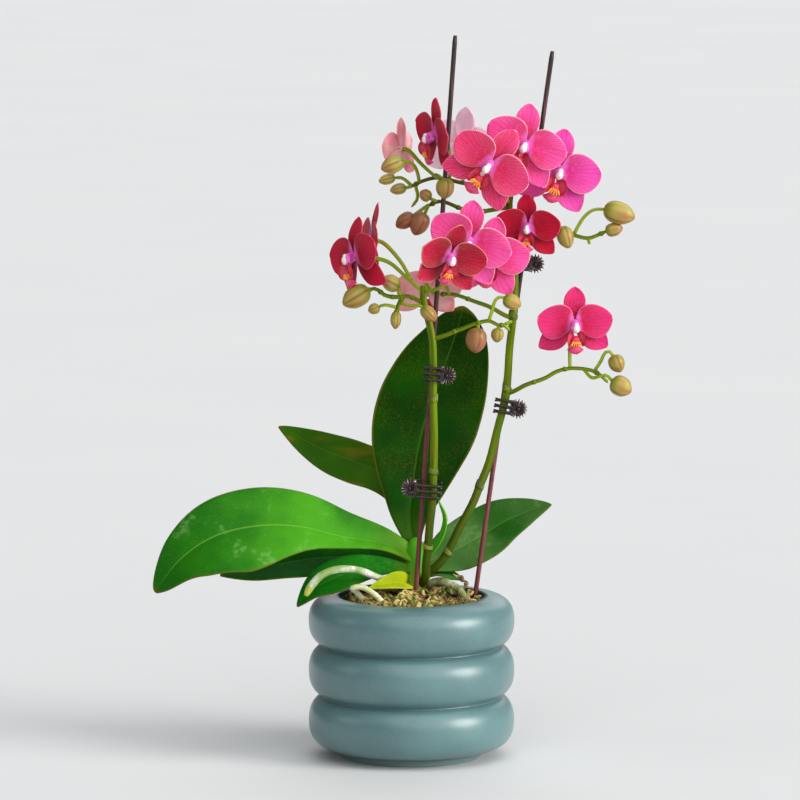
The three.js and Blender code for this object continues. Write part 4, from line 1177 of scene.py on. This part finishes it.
petal_finishes = {
    "coral": petal_finish("petal_coral", tint(236, 62, 122), tint(216, 34, 84), tint(172, 8, 44)),
    "rose": petal_finish("petal_rose", tint(248, 84, 168), tint(232, 46, 118), tint(190, 12, 72)),
    "magenta": petal_finish("petal_magenta", tint(240, 76, 180), tint(214, 40, 132), tint(160, 12, 82)),
    "cherry": petal_finish("petal_cherry", tint(220, 44, 116), tint(206, 24, 76), tint(150, 4, 40),
                           tint(226, 120, 160)),
    # The crimson finish is a darker copy of the pink ones for blooms that stand in shade: its deep red is
    # partly their own colour and partly painted shade.
    "shaded_crimson": petal_finish("petal_crimson", tint(200, 14, 56), tint(172, 6, 36), tint(104, 1, 18),
                            tint(214, 90, 110), 0.955),
    "hooded": petal_finish("petal_hooded", tint(186, 12, 56), tint(150, 4, 34), tint(88, 1, 16),
                           tint(222, 150, 140), 0.95),
}
petal_backs = {
    "pink": petal_back("petal_back_pink", tint(246, 200, 220), tint(232, 140, 182), tint(250, 214, 226)),
    "lilac": petal_back("petal_back_lilac", tint(252, 234, 246), tint(240, 200, 228),
                        tint(250, 236, 244)),
    "salmon": petal_back("petal_back_salmon", tint(242, 188, 190), tint(226, 124, 146),
                         tint(206, 134, 66)),
    # The crimson back is darker in the same way, partly painted shade.
    "shaded_crimson": petal_back("petal_back_shaded_crimson", tint(222, 120, 158), tint(176, 34, 76),
                          tint(196, 60, 96)),
}
print("petal finishes:", ", ".join(petal_finishes))

# %% [markdown]
# The lobes are red with darker spots and a pink edge, the callus is orange on yellow,
# the column is magenta with a pale base, and its cap is white.


# %% Lip finishes
def lobe_finish():
    finish = Finish("lip_lobes", Sheen_Weight=0.15, Specular_IOR_Level=0.4, Subsurface_Weight=0.06,
                    Subsurface_Scale=0.001)
    along, shade = finish.attribute("along"), finish.attribute("shade")
    colour = finish.layers(
        tint(196, 8, 40),
        (shade.between(0.4, 0.8), tint(222, 48, 104)),
        (abs(along - 0.5).between(0.28, 0.5) * 0.5, tint(236, 96, 140)),
        (finish.patches(420, 0.5, 0.68) * 0.5, tint(140, 4, 26)))
    return finish.paint(colour, 0.4, finish.noise(1200, 2), 0.00015, 0.4)


def callus_finish():
    finish = Finish("lip_callus", Specular_IOR_Level=0.6, Coat_Weight=0.3)
    colour = finish.mix(finish.patches(900, 0.42, 0.58, 2), tint(255, 186, 40), tint(240, 110, 10))
    return finish.paint(colour, 0.3, finish.noise(700, 2), 0.0002, 0.5)


def column_finish():
    finish = Finish("column_magenta", Sheen_Weight=0.1, Subsurface_Weight=0.1, Subsurface_Scale=0.001)
    colour = finish.layers(
        tint(232, 112, 206),
        (finish.patches(260, 0.4, 0.62), tint(206, 52, 156)),
        (finish.attribute("along").between(0.35, 0.0) * 0.8, tint(246, 206, 236)))
    return finish.paint(colour, 0.42, finish.noise(900, 2), 0.00015, 0.3)


def cap_finish(name, light, dark):
    finish = Finish(name, Specular_IOR_Level=0.5, Subsurface_Weight=0.1, Subsurface_Scale=0.001)
    colour = finish.mix(finish.patches(500, 0.4, 0.7), light, dark)
    return finish.paint(colour, 0.35, finish.noise(900, 2), 0.0001, 0.3)


lip_parts = [lobe_finish(), callus_finish(), column_finish(),
             cap_finish("anther_cap", tint(252, 248, 242), tint(240, 226, 226)),
             cap_finish("anther_spot", tint(244, 214, 120), tint(230, 180, 80)),
             cap_finish("bloom_hub", tint(222, 150, 170), tint(190, 170, 110))]
print(len(lip_parts), "lip finishes")

# %% [markdown]
# Each bloom is two pieces, its tepals and its lip, as the model has them.

# %% Dressed blooms
for number, bloom in enumerate(BLOOMS, 1):
    shaded_crimson = bloom["finish"] in ("shaded_crimson", "hooded")
    back = bloom.get("back", "shaded_crimson" if shaded_crimson else "pink")
    finish_piece(tepals(bloom), f"bloom_{number}_blades",
                 [petal_finishes[bloom["finish"]], petal_backs[back]],
                 [f"bloom_{number}_tepals"],
                 thickness=TEPAL_THICKNESS, levels=1)
    finish_piece(lip(bloom), f"bloom_{number}_lip_parts", lip_parts, [f"bloom_{number}_lip"])

# %% [markdown]
# Each spike is one grown thing: a main stem with a swollen node and a papery sheath at
# intervals, side branches, thin flower stalks and buds. The routes are those of the
# model, so every stalk meets its bloom.

# %% Spikes
SPIKE_RADIUS_BASE = 2.5
SPIKE_RADIUS_TOP = 2.05
BRANCH_RADIUS = 1.3
PEDICEL_RADIUS = 1.05
STALK_BEND = (0, 0, -5.5)
STALK_END = (0, 0, -1.4)
SHEATH_SEARCH = 400
SHEATH_CLEARANCE = 0.32
SWELLING_RADIUS = 2.75
SWELLING_DROP = 1.8
STEM_SIDES = 16
STEM_STEPS = 110
BRANCH_SIDES = 12
BRANCH_NODES = (0.3, 0.62, 0.93)
BRANCH_NODE_RADII = (1.75, 1.75, 1.5)
STALK_SIDES = 10
STEM, BUD, SHEATH, STALK = range(4)
SPIKES = {
    "spike_1": dict(
        stem=[(4, 5, 98), (8, -3, 105), (8.5, -6, 113), (9.5, -7.5, 122.5), (10.5, -8.5, 136),
              (12, -9, 149.5), (12.5, -9, 162), (13, -9.5, 190), (12.5, -9.5, 209.5), (12.5, -9.5, 234.5),
              (12, -9.5, 244.5), (10, -9.5, 255), (7, -9.5, 266.5), (7, -9.5, 276)],
        sheaths=[(10, -7.8, 124), (12.5, -9, 168.5), (12.7, -9.5, 211)],
        branches=[
            [(12, -9.5, 245), (19.5, -10.5, 247.5), (27, -11, 250.5), (44.5, -12, 256), (50, -12, 253.5),
             (55, -12, 254)],
            [(7, -9.5, 266), (0, -11, 269.5), (-4, -13, 270.5), (-7.5, -14, 266), (-9, -15, 260)],
            [(-4, -13, 270.5), (-9.5, -14, 270), (-15, -15, 271), (-21, -16, 275), (-26, -17, 274)]],
        twigs=[
            [(44.5, -12, 256), (46.5, -12, 262), (48, -12, 267.5), (51, -12, 270), (55, -12, 268.5)],
            [(38.5, -12, 254), (38, -12.5, 250)],
            [(50, -12, 253.5), (50, -12.5, 250)],
            [(54, -12, 254), (58, -12, 256)],
            [(53, -12, 254), (56.5, -12, 250.5)],
            [(-6, -13, 269), (-7.5, -14, 277)],
            [(-8.5, -14, 264), (-15.5, -15, 265.5), (-20, -15, 264)],
            [(-6, -14, 266.5), (0, -15.5, 265), (4, -16.5, 265.5), (8, -17, 263.5)]],
        buds=[
            ((53, -12, 269.5), (63, -12, 264.5), 4.6, 0.25),
            ((38, -12.5, 252), (36.5, -14, 237.5), 6.2, 0.85),
            ((50, -12.5, 252), (49, -13, 243.5), 3.8, 0.4),
            ((-8.7, -15, 262), (-9.5, -15, 251.5), 3.2, 0.3),
            ((-24.5, -17, 275), (-39.5, -20, 266), 6.4, 0.5),
            ((-7, -14, 275.5), (-17, -15.5, 281), 4.9, 0.05),
            ((-18.5, -15, 264.5), (-25, -16, 262), 3.2, 0.35),
            ((6, -17, 264.5), (14, -18, 256.5), 4, 0.5)],
        blooms=(6, 8, 9)),
    "spike_2": dict(
        stem=[(5, 6, 104), (14.5, 4, 110.5), (20, 4, 117), (27.5, 4.5, 132), (36, 6, 148), (40, 7, 158),
              (45, 8, 170.5), (50.5, 9, 192), (55, 9.5, 210), (56, 9.5, 221.5), (57, 9.5, 238),
              (59, 9.5, 256.5), (60, 9.5, 274.5), (59, 9.5, 298), (56.5, 9.5, 321), (58, 8, 333)],
        sheaths=[(21, 4, 119), (40, 7, 158), (55.4, 9.5, 214.5), (59, 9.5, 257)],
        branches=[
            [(59, 9.5, 255), (53.5, 8, 257.5), (46, 6, 262), (37, 4, 265.5), (24, 2, 270), (15, 2, 270)],
            [(55, 9.5, 211), (60, 8, 213), (66, 6, 216.5), (78, 5, 221), (84, 5, 224.5), (92, 5, 226.5),
             (104.5, 3, 225.5), (111, 2, 222)],
            [(59, 9.5, 302), (68.5, 10, 305), (79, 8, 306), (89, 5, 305.5), (102, 3, 302.5),
             (109, 2, 305), (113, 1, 307)],
            [(58, 8, 331), (51, 6, 331.5), (40.5, 4, 333), (29.5, 3, 334.5), (14.5, 3, 337.5),
             (6, 3, 335.5), (-1, 3, 332)],
            [(56.5, 9.5, 320), (45.5, 6, 318.5), (36.5, 3, 317.5), (28, 2, 320), (16.5, 2, 324),
             (9, 2, 321)]],
        twigs=[
            [(106, 3, 225), (110, 2, 231.5), (112, 1, 236), (114.5, 0, 237), (118, -1, 233)],
            [(100, 4, 226), (104.5, 0, 221.5), (108, -3, 222.5), (113, -5, 223.5), (117, -6, 219)],
            [(110, 2, 222.5), (114, 2, 218.5)],
            [(89, 5, 305.5), (87, 2.5, 309)],
            [(94, 4, 305), (99.5, 3, 314.5), (105, 2, 319), (112.5, 1, 319.5)],
            [(102, 3, 302.5), (103, 3, 299)],
            [(4.5, 3, 335), (3, -4, 342), (0, -10, 347), (-6, -13, 348.5)],
            [(0, 3, 333), (-5.5, 2, 337.5), (-11, 1, 337.5)],
            [(2, 3, 334), (3.5, 3, 326), (0, 3, 320.5)],
            [(14.5, 2, 324), (10, 0, 326)],
            [(15, 3, 337), (13.5, -4, 339.5), (15, -11, 340), (19.5, -13, 337)],
            [(10, 2, 322), (7, 1, 315.5)],
            [(10, 2, 322), (0, 3, 315)],
            [(0, 3, 332.5), (-4, 3, 331.5)]],
        buds=[
            ((117, -1, 235), (121, -2, 225), 4.9, 0.5),
            ((115.5, -6, 220.5), (127, -8, 214), 6, 0.3),
            ((87, 2.5, 309.5), (91, -1, 297), 5, 0.35),
            ((112, 1, 306.5), (122, 0, 309), 4, 0.4),
            ((111, 1, 320), (129, -1, 314.5), 6.6, 0.3),
            ((-4.5, -13, 349), (-17.5, -14, 343.5), 5, 0.2),
            ((-9.5, 1, 338), (-19, 0, 335.5), 3.1, 0.15),
            ((11, 0, 325.5), (5, -1, 330), 3.6, 0.5),
            ((19.5, -13, 338.5), (19, -13, 326.5), 5.4, 0.6),
            ((7.5, 1, 317.5), (1.5, 0, 304.5), 5.6, 0.95),
            ((1.5, 3, 316), (-9, 4, 309), 4.6, 1.0),
            ((-3, 3, 332), (-12.5, 3, 330), 3.3, 0.1)],
        blooms=(1, 2, 3, 4, 5, 7, 10, 11, 12, 13, 14)),
}


def bud(whole, base, tip, radius, shade):
    """A bud: three folded sepals meet along its length and close in a blunt point."""
    base, tip = Vector(base), Vector(tip)
    axis = tip - base
    side = axis.orthogonal().normalized()
    other = axis.normalized().cross(side)

    def shape(x, y, z):
        s = (z + 1) / 2
        turn = math.atan2(y, x)
        swell = (1 - abs(2 * s ** 0.84 - 1) ** 2.3) ** 0.6 * (1 - 0.3 * max(0, s / 0.7 - 1))
        seam = 1 - 0.1 * abs(math.cos(1.5 * turn)) ** 14
        reach = radius * swell * seam
        return base + axis * s + (side * math.cos(turn) + other * math.sin(turn)) * reach

    body(whole, shape, 24, 14, material=BUD, shade=shade)


def stalk_route(bloom):
    """A flower stalk's points, which end just inside the back of its bloom."""
    turn = facing(bloom)
    return [*bloom["pedicel"], turn @ Vector(STALK_BEND), turn @ Vector(STALK_END)]


def stem_radius(s):
    return SPIKE_RADIUS_BASE + (SPIKE_RADIUS_TOP - SPIKE_RADIUS_BASE) * s


def branch_radius(s):
    return BRANCH_RADIUS * (1.05 - 0.25 * s) * min(1, 0.5 + (1 - s) * 20)


def twig_radius(s):
    return PEDICEL_RADIUS * (1 - 0.12 * s) * min(1, 0.45 + (1 - s) * 12)


def stalk_radius(s):
    return PEDICEL_RADIUS * (0.95 + 0.3 * s)


def spike(parts):
    bm = new_mesh()
    bar(bm, parts["stem"], stem_radius, STEM_SIDES, steps=STEM_STEPS, material=STEM)
    stem = Route(parts["stem"])
    for place in parts["sheaths"]:
        shares = [i / SHEATH_SEARCH for i in range(SHEATH_SEARCH)]
        share = min(shares, key=lambda s: (stem.at(s) - Vector(place)).length)
        turn = stem.heading(share).to_track_quat("Z", "Y")
        seat = Matrix.Translation(stem.at(share)) @ turn.to_matrix().to_4x4()

        def papery(u, v, w, seat=seat):
            reach = (SPIKE_RADIUS_BASE + SHEATH_CLEARANCE - 0.05 * w) / max(math.hypot(u, v), 0.35)
            return seat @ Vector((u * reach, v * reach, 1.5 * w + 1.5 * (1 + w) * v))

        def swelling(u, v, w, seat=seat):
            return seat @ Vector((SWELLING_RADIUS * u, SWELLING_RADIUS * v, 1.6 * w - SWELLING_DROP))

        body(bm, papery, 20, 10, material=SHEATH)
        body(bm, swelling, 16, 8, material=STEM)
    for route in parts["branches"]:
        bar(bm, route, branch_radius, BRANCH_SIDES, material=STEM)
        turns = Route(route)
        for share in BRANCH_NODES:
            body(bm, egg(turns.at(share), BRANCH_NODE_RADII), 10, 8, material=STEM)
    for route in parts["twigs"]:
        bar(bm, route, twig_radius, STALK_SIDES, material=STALK)
    for number in parts["blooms"]:
        bar(bm, stalk_route(BLOOMS[number - 1]), stalk_radius, STALK_SIDES, material=STALK)
    for settings in parts["buds"]:
        bud(bm, *settings)
    return bm


for name, parts in SPIKES.items():
    print(name, "has", len(parts["branches"]), "branches and", len(parts["buds"]), "buds")

# %% [markdown]
# The stems are green, darker low down, with olive and brown patches and a brown tinge
# near the top. The stalks are paler. The buds are olive and cream with brown along
# their folds. They differ, so each carries a shade of its own, from green to pink-brown.


# %% Spike finishes
def stem_finish(name, light, dark, brown):
    finish = Finish(name, Specular_IOR_Level=0.12)
    level = finish.height()
    cloud = finish.grain(0.7, 60)
    streak = finish.grain(2.5, 40)
    bruise = finish.grain(1.1, 18, 4).between(0.5, 0.68)
    colour = finish.layers(
        light,
        (cloud.between(0.4, 0.6), dark),
        (streak.between(0.4, 0.65) * 0.4, dark),
        (level.between(225, 120) * 0.85, tint(46, 68, 5)),
        (bruise * brown, tint(104, 70, 24)),
        (level.between(305, 325) * (brown * 1.7), tint(84, 74, 16)))
    return finish.paint(colour, 0.38 + cloud * 0.15, streak + finish.noise(700, 2) * 0.3, 0.00012, 0.3)


def bud_finish():
    finish = Finish("bud_skin", Specular_IOR_Level=0.35, Subsurface_Weight=0.05, Subsurface_Scale=0.002)
    along, across, shade = (finish.attribute(key) for key in ("along", "across", "shade"))
    ribs = (across + finish.noise(90, 3) * 0.05).stripes(9).between(0.2, 1)
    cheek = (across + 0.09 + finish.noise(60, 2) * 0.06).stripes(3).between(0.45, 0.95)
    folds = (across + finish.noise(60, 2) * 0.02).stripes(3).between(0.8, 1.0)
    blush = finish.patches(110, 0.44, 0.62) * along.between(0.15, 0.9)
    colour = finish.layers(
        tint(124, 140, 34),
        (along.between(0.0, 0.5), tint(190, 180, 92)),
        (shade.between(0.0, 0.5) * 0.55, tint(150, 130, 44)),
        (shade.between(0.5, 1.0) * 0.85, tint(146, 82, 66)),
        (ribs * 0.25, tint(120, 100, 30)),
        (cheek * along.between(0.2, 0.7) * 0.6, tint(156, 92, 52)),
        (folds * 0.7, tint(116, 58, 40)),
        (blush * (0.3 + shade * 0.5), tint(170, 88, 72)),
        (along.between(0.86, 1.0) * 0.5, tint(138, 78, 50)))
    return finish.paint(colour, 0.36, ribs * 0.3 + finish.noise(600, 2) * 0.3, 0.0002, 0.3)


def sheath_finish():
    finish = Finish("papery_sheath")
    streak = (finish.attribute("across") + finish.noise(80, 2) * 0.03).stripes(16).between(0.4, 1)
    colour = finish.layers(
        tint(120, 132, 30),
        (finish.patches(160, 0.35, 0.6), tint(72, 90, 14)),
        (streak * 0.3, tint(96, 84, 28)))
    return finish.paint(colour, 0.6, streak, 0.0002, 0.5)


stem_parts = [
    stem_finish("stem_green", tint(122, 140, 6), tint(72, 100, 4), 0.45), bud_finish(), sheath_finish(),
    stem_finish("stalk_green", tint(172, 186, 52), tint(118, 144, 20), 0.12)]
for name, parts in SPIKES.items():
    finish_piece(spike(parts), name + "_grown", stem_parts, [name])

# %% [markdown]
# A claw clip has two jaws on a pin. Each jaw has a scalloped thumb disc with ribs like a
# shell, a back plate and three curved prongs. Its own frame has the pin along z, the
# prongs along x and the discs on the other side. The moving jaw is the mirror of the
# fixed one, with its prongs and lugs at heights of their own.

# %% Clips
CLIP_DISC_RADIUS = 5.5
CLIP_RIBS = 16
CLIP_DISC_CENTRE = -2.6
CLIP_DISC_OFFSET = 3.6
CLIP_HALF_GAP = 5.5
CLIP_PRONG_PITCH = 3.4
CLIP_LUG = 1.7
CLIP_PIN_RADIUS = 0.6
CLIP_HEIGHT = 9.2
CLIP_BEVEL = 0.35
CLIP_RIB_START = 1.4
CLIP_RIB_HEIGHT = 1.25
CLIP_PRONG_RADIUS = 0.82
CLIP_PRONG_SHIFT = 0.85
FIXED_LUGS = [(-3.6, -2), (2, 3.6)]
MOVING_LUGS = [(-1.6, 1.6)]
CLIPS = [
    dict(at=(1.7, -7.4, 158), turn=0, lean=4, reach=13.3),
    dict(at=(17.6, -7.5, 224), turn=180, lean=4, reach=8.1),
    dict(at=(59.4, 11.4, 202.5), turn=180, lean=9, reach=9),
    dict(at=(69.1, 11.5, 287), turn=180, lean=3, reach=12.1),
]


def clip_matrix(clip):
    lean = Matrix.Rotation(math.radians(clip["lean"]), 4, "Y")
    return Matrix.Translation(clip["at"]) @ lean @ Matrix.Rotation(math.radians(clip["turn"]), 4, "Z")


def disc(bm):
    """A thumb disc: a thin round pad, with rounded ribs from its boss to past its edge."""
    def pad(x, y, z):
        reach = (CLIP_DISC_RADIUS - 1.5) * (x * x + y * y) ** -0.2 if x or y else 0
        return Vector((CLIP_DISC_CENTRE + x * reach, -CLIP_DISC_OFFSET + 0.3 * z, y * reach))

    body(bm, pad, 36, 8, shade=0)
    for i in range(CLIP_RIBS):
        turn = math.tau * i / CLIP_RIBS
        out = Vector((math.cos(turn), 0, math.sin(turn)))
        side = Vector((-math.sin(turn), 0, math.cos(turn)))

        def rib(x, y, z, out=out, side=side):
            length = (CLIP_DISC_RADIUS - CLIP_RIB_START) / 2
            reach = CLIP_RIB_START + length * (1 + z)
            slim = 0.24 + 0.15 * (1 + z)
            lift = CLIP_RIB_HEIGHT * y
            point = out * reach + side * (slim * x)
            return Vector((CLIP_DISC_CENTRE, -CLIP_DISC_OFFSET + lift, 0)) + point

        body(bm, rib, 8, 8, shade=1)
    body(bm, egg((CLIP_DISC_CENTRE, -CLIP_DISC_OFFSET, 0), (1.25, 0.95, 1.25)), 14, 8)


def jaw(clip, mirror, prong_shift, lugs):
    bm = new_mesh()
    disc(bm)
    reach = clip["reach"]
    heights = [i * CLIP_PRONG_PITCH + prong_shift for i in (-1, 0, 1)]
    for z in heights:
        route = [(0.8, -CLIP_HALF_GAP + 0.3, z), (reach * 0.5, -CLIP_HALF_GAP, z),
                 (reach + 0.4, -CLIP_HALF_GAP + 0.5, z), (reach + 2, -CLIP_HALF_GAP * 0.45, z),
                 (reach + 1.6, -0.2, z)]
        bar(bm, route, lambda s: CLIP_PRONG_RADIUS * (1 - 0.45 * s ** 3), 12, steps=26)
    plate = (-CLIP_HALF_GAP - 0.3, -CLIP_DISC_OFFSET + 0.4)
    blocks = [((-0.6, 1.4), plate, (heights[0] - 0.7, heights[2] + 0.7))]
    blocks += [((-CLIP_LUG, CLIP_LUG), (-CLIP_DISC_OFFSET, CLIP_LUG), lug) for lug in lugs]
    for x, y, z in blocks:
        part = new_mesh()
        bmesh.ops.create_cube(part, size=1)
        bmesh.ops.scale(part, vec=(x[1] - x[0], y[1] - y[0], z[1] - z[0]), verts=part.verts)
        bmesh.ops.translate(part, vec=(sum(x) / 2, sum(y) / 2, sum(z) / 2), verts=part.verts)
        bmesh.ops.bevel(part, geom=part.edges[:], offset=CLIP_BEVEL, offset_type="OFFSET", segments=2,
                        profile=0.5, affect="EDGES", material=-1)
        absorb(bm, part)
    if mirror:
        bmesh.ops.scale(bm, vec=(1, -1, 1), verts=bm.verts)
        bmesh.ops.reverse_faces(bm, faces=bm.faces)
    bmesh.ops.transform(bm, matrix=clip_matrix(clip), verts=bm.verts)
    return bm


def clip_pin(clip):
    bm = new_mesh()
    half = CLIP_HEIGHT / 2
    bar(bm, [(0, 0, -half), (0, 0, 0), (0, 0, half)], CLIP_PIN_RADIUS, 12, steps=8)
    for end in (-1, 1):
        body(bm, egg((0, 0, end * half), (0.95, 0.95, 0.4)), 14, 8)
    bmesh.ops.transform(bm, matrix=clip_matrix(clip), verts=bm.verts)
    return bm


def clip_finish():
    finish = Finish("clip_plastic", Specular_IOR_Level=0.5)
    pad = finish.attribute("shade").between(0.3, 0.1)
    rib = finish.attribute("shade").between(0.6, 0.9)
    colour = finish.layers(
        tint(24, 9, 11),
        (finish.patches(120, 0.35, 0.65), tint(50, 22, 25)),
        # Painted highlight: the ribs are lighter, and flecked near-white with painted glints.
        (rib * 0.55, tint(104, 72, 74)),
        (rib * finish.patches(260, 0.5, 0.6, 2) * 0.5, tint(196, 184, 188)),
        # Painted shade: the pad that shows between the ribs is near black.
        (pad, tint(8, 3, 4)))
    roughness = 0.12 + finish.noise(300, 3) * 0.06 + pad * 0.6
    return finish.paint(colour, roughness, finish.noise(500, 2), 0.00003, 0.08)


def steel_finish():
    finish = Finish("spring_steel", Metallic=0.9)
    colour = finish.mix(finish.noise(900, 2), tint(206, 204, 202), tint(168, 166, 168))
    return finish.paint(colour, 0.28, finish.noise(1200, 2), 0.00005, 0.3)


plastic, steel = clip_finish(), steel_finish()
for i, clip in enumerate(CLIPS, 1):
    fixed = jaw(clip, False, -CLIP_PRONG_SHIFT, FIXED_LUGS)
    finish_piece(fixed, f"clip_{i}_fixed_jaw", [plastic], [f"clip_{i}_jaw_fixed"])
    moving = jaw(clip, True, CLIP_PRONG_SHIFT, MOVING_LUGS)
    finish_piece(moving, f"clip_{i}_moving_jaw", [plastic], [f"clip_{i}_jaw_moving"],
                 rides=f"clip_{i}_jaw")
    finish_piece(clip_pin(clip), f"clip_{i}_hinge_pin", [steel], [f"clip_{i}_pin"])

# %% [markdown]
# The floor is a plain pale disc, wide enough for every view.


# %% Floor
def floor_finish():
    finish = Finish("pale_floor")
    colour = finish.mix(finish.noise(3, 2), tint(214, 215, 216), tint(220, 221, 221))
    return finish.paint(colour, 0.75)


floor_mesh = bmesh.new()
bmesh.ops.create_circle(floor_mesh, cap_ends=True, radius=14, segments=96)
floor_data = bpy.data.meshes.new("pale_floor")
floor_mesh.to_mesh(floor_data)
floor_mesh.free()
floor_data.materials.append(floor_finish())
floor = bpy.data.objects.new("pale_floor", floor_data)
bpy.context.scene.collection.objects.link(floor)
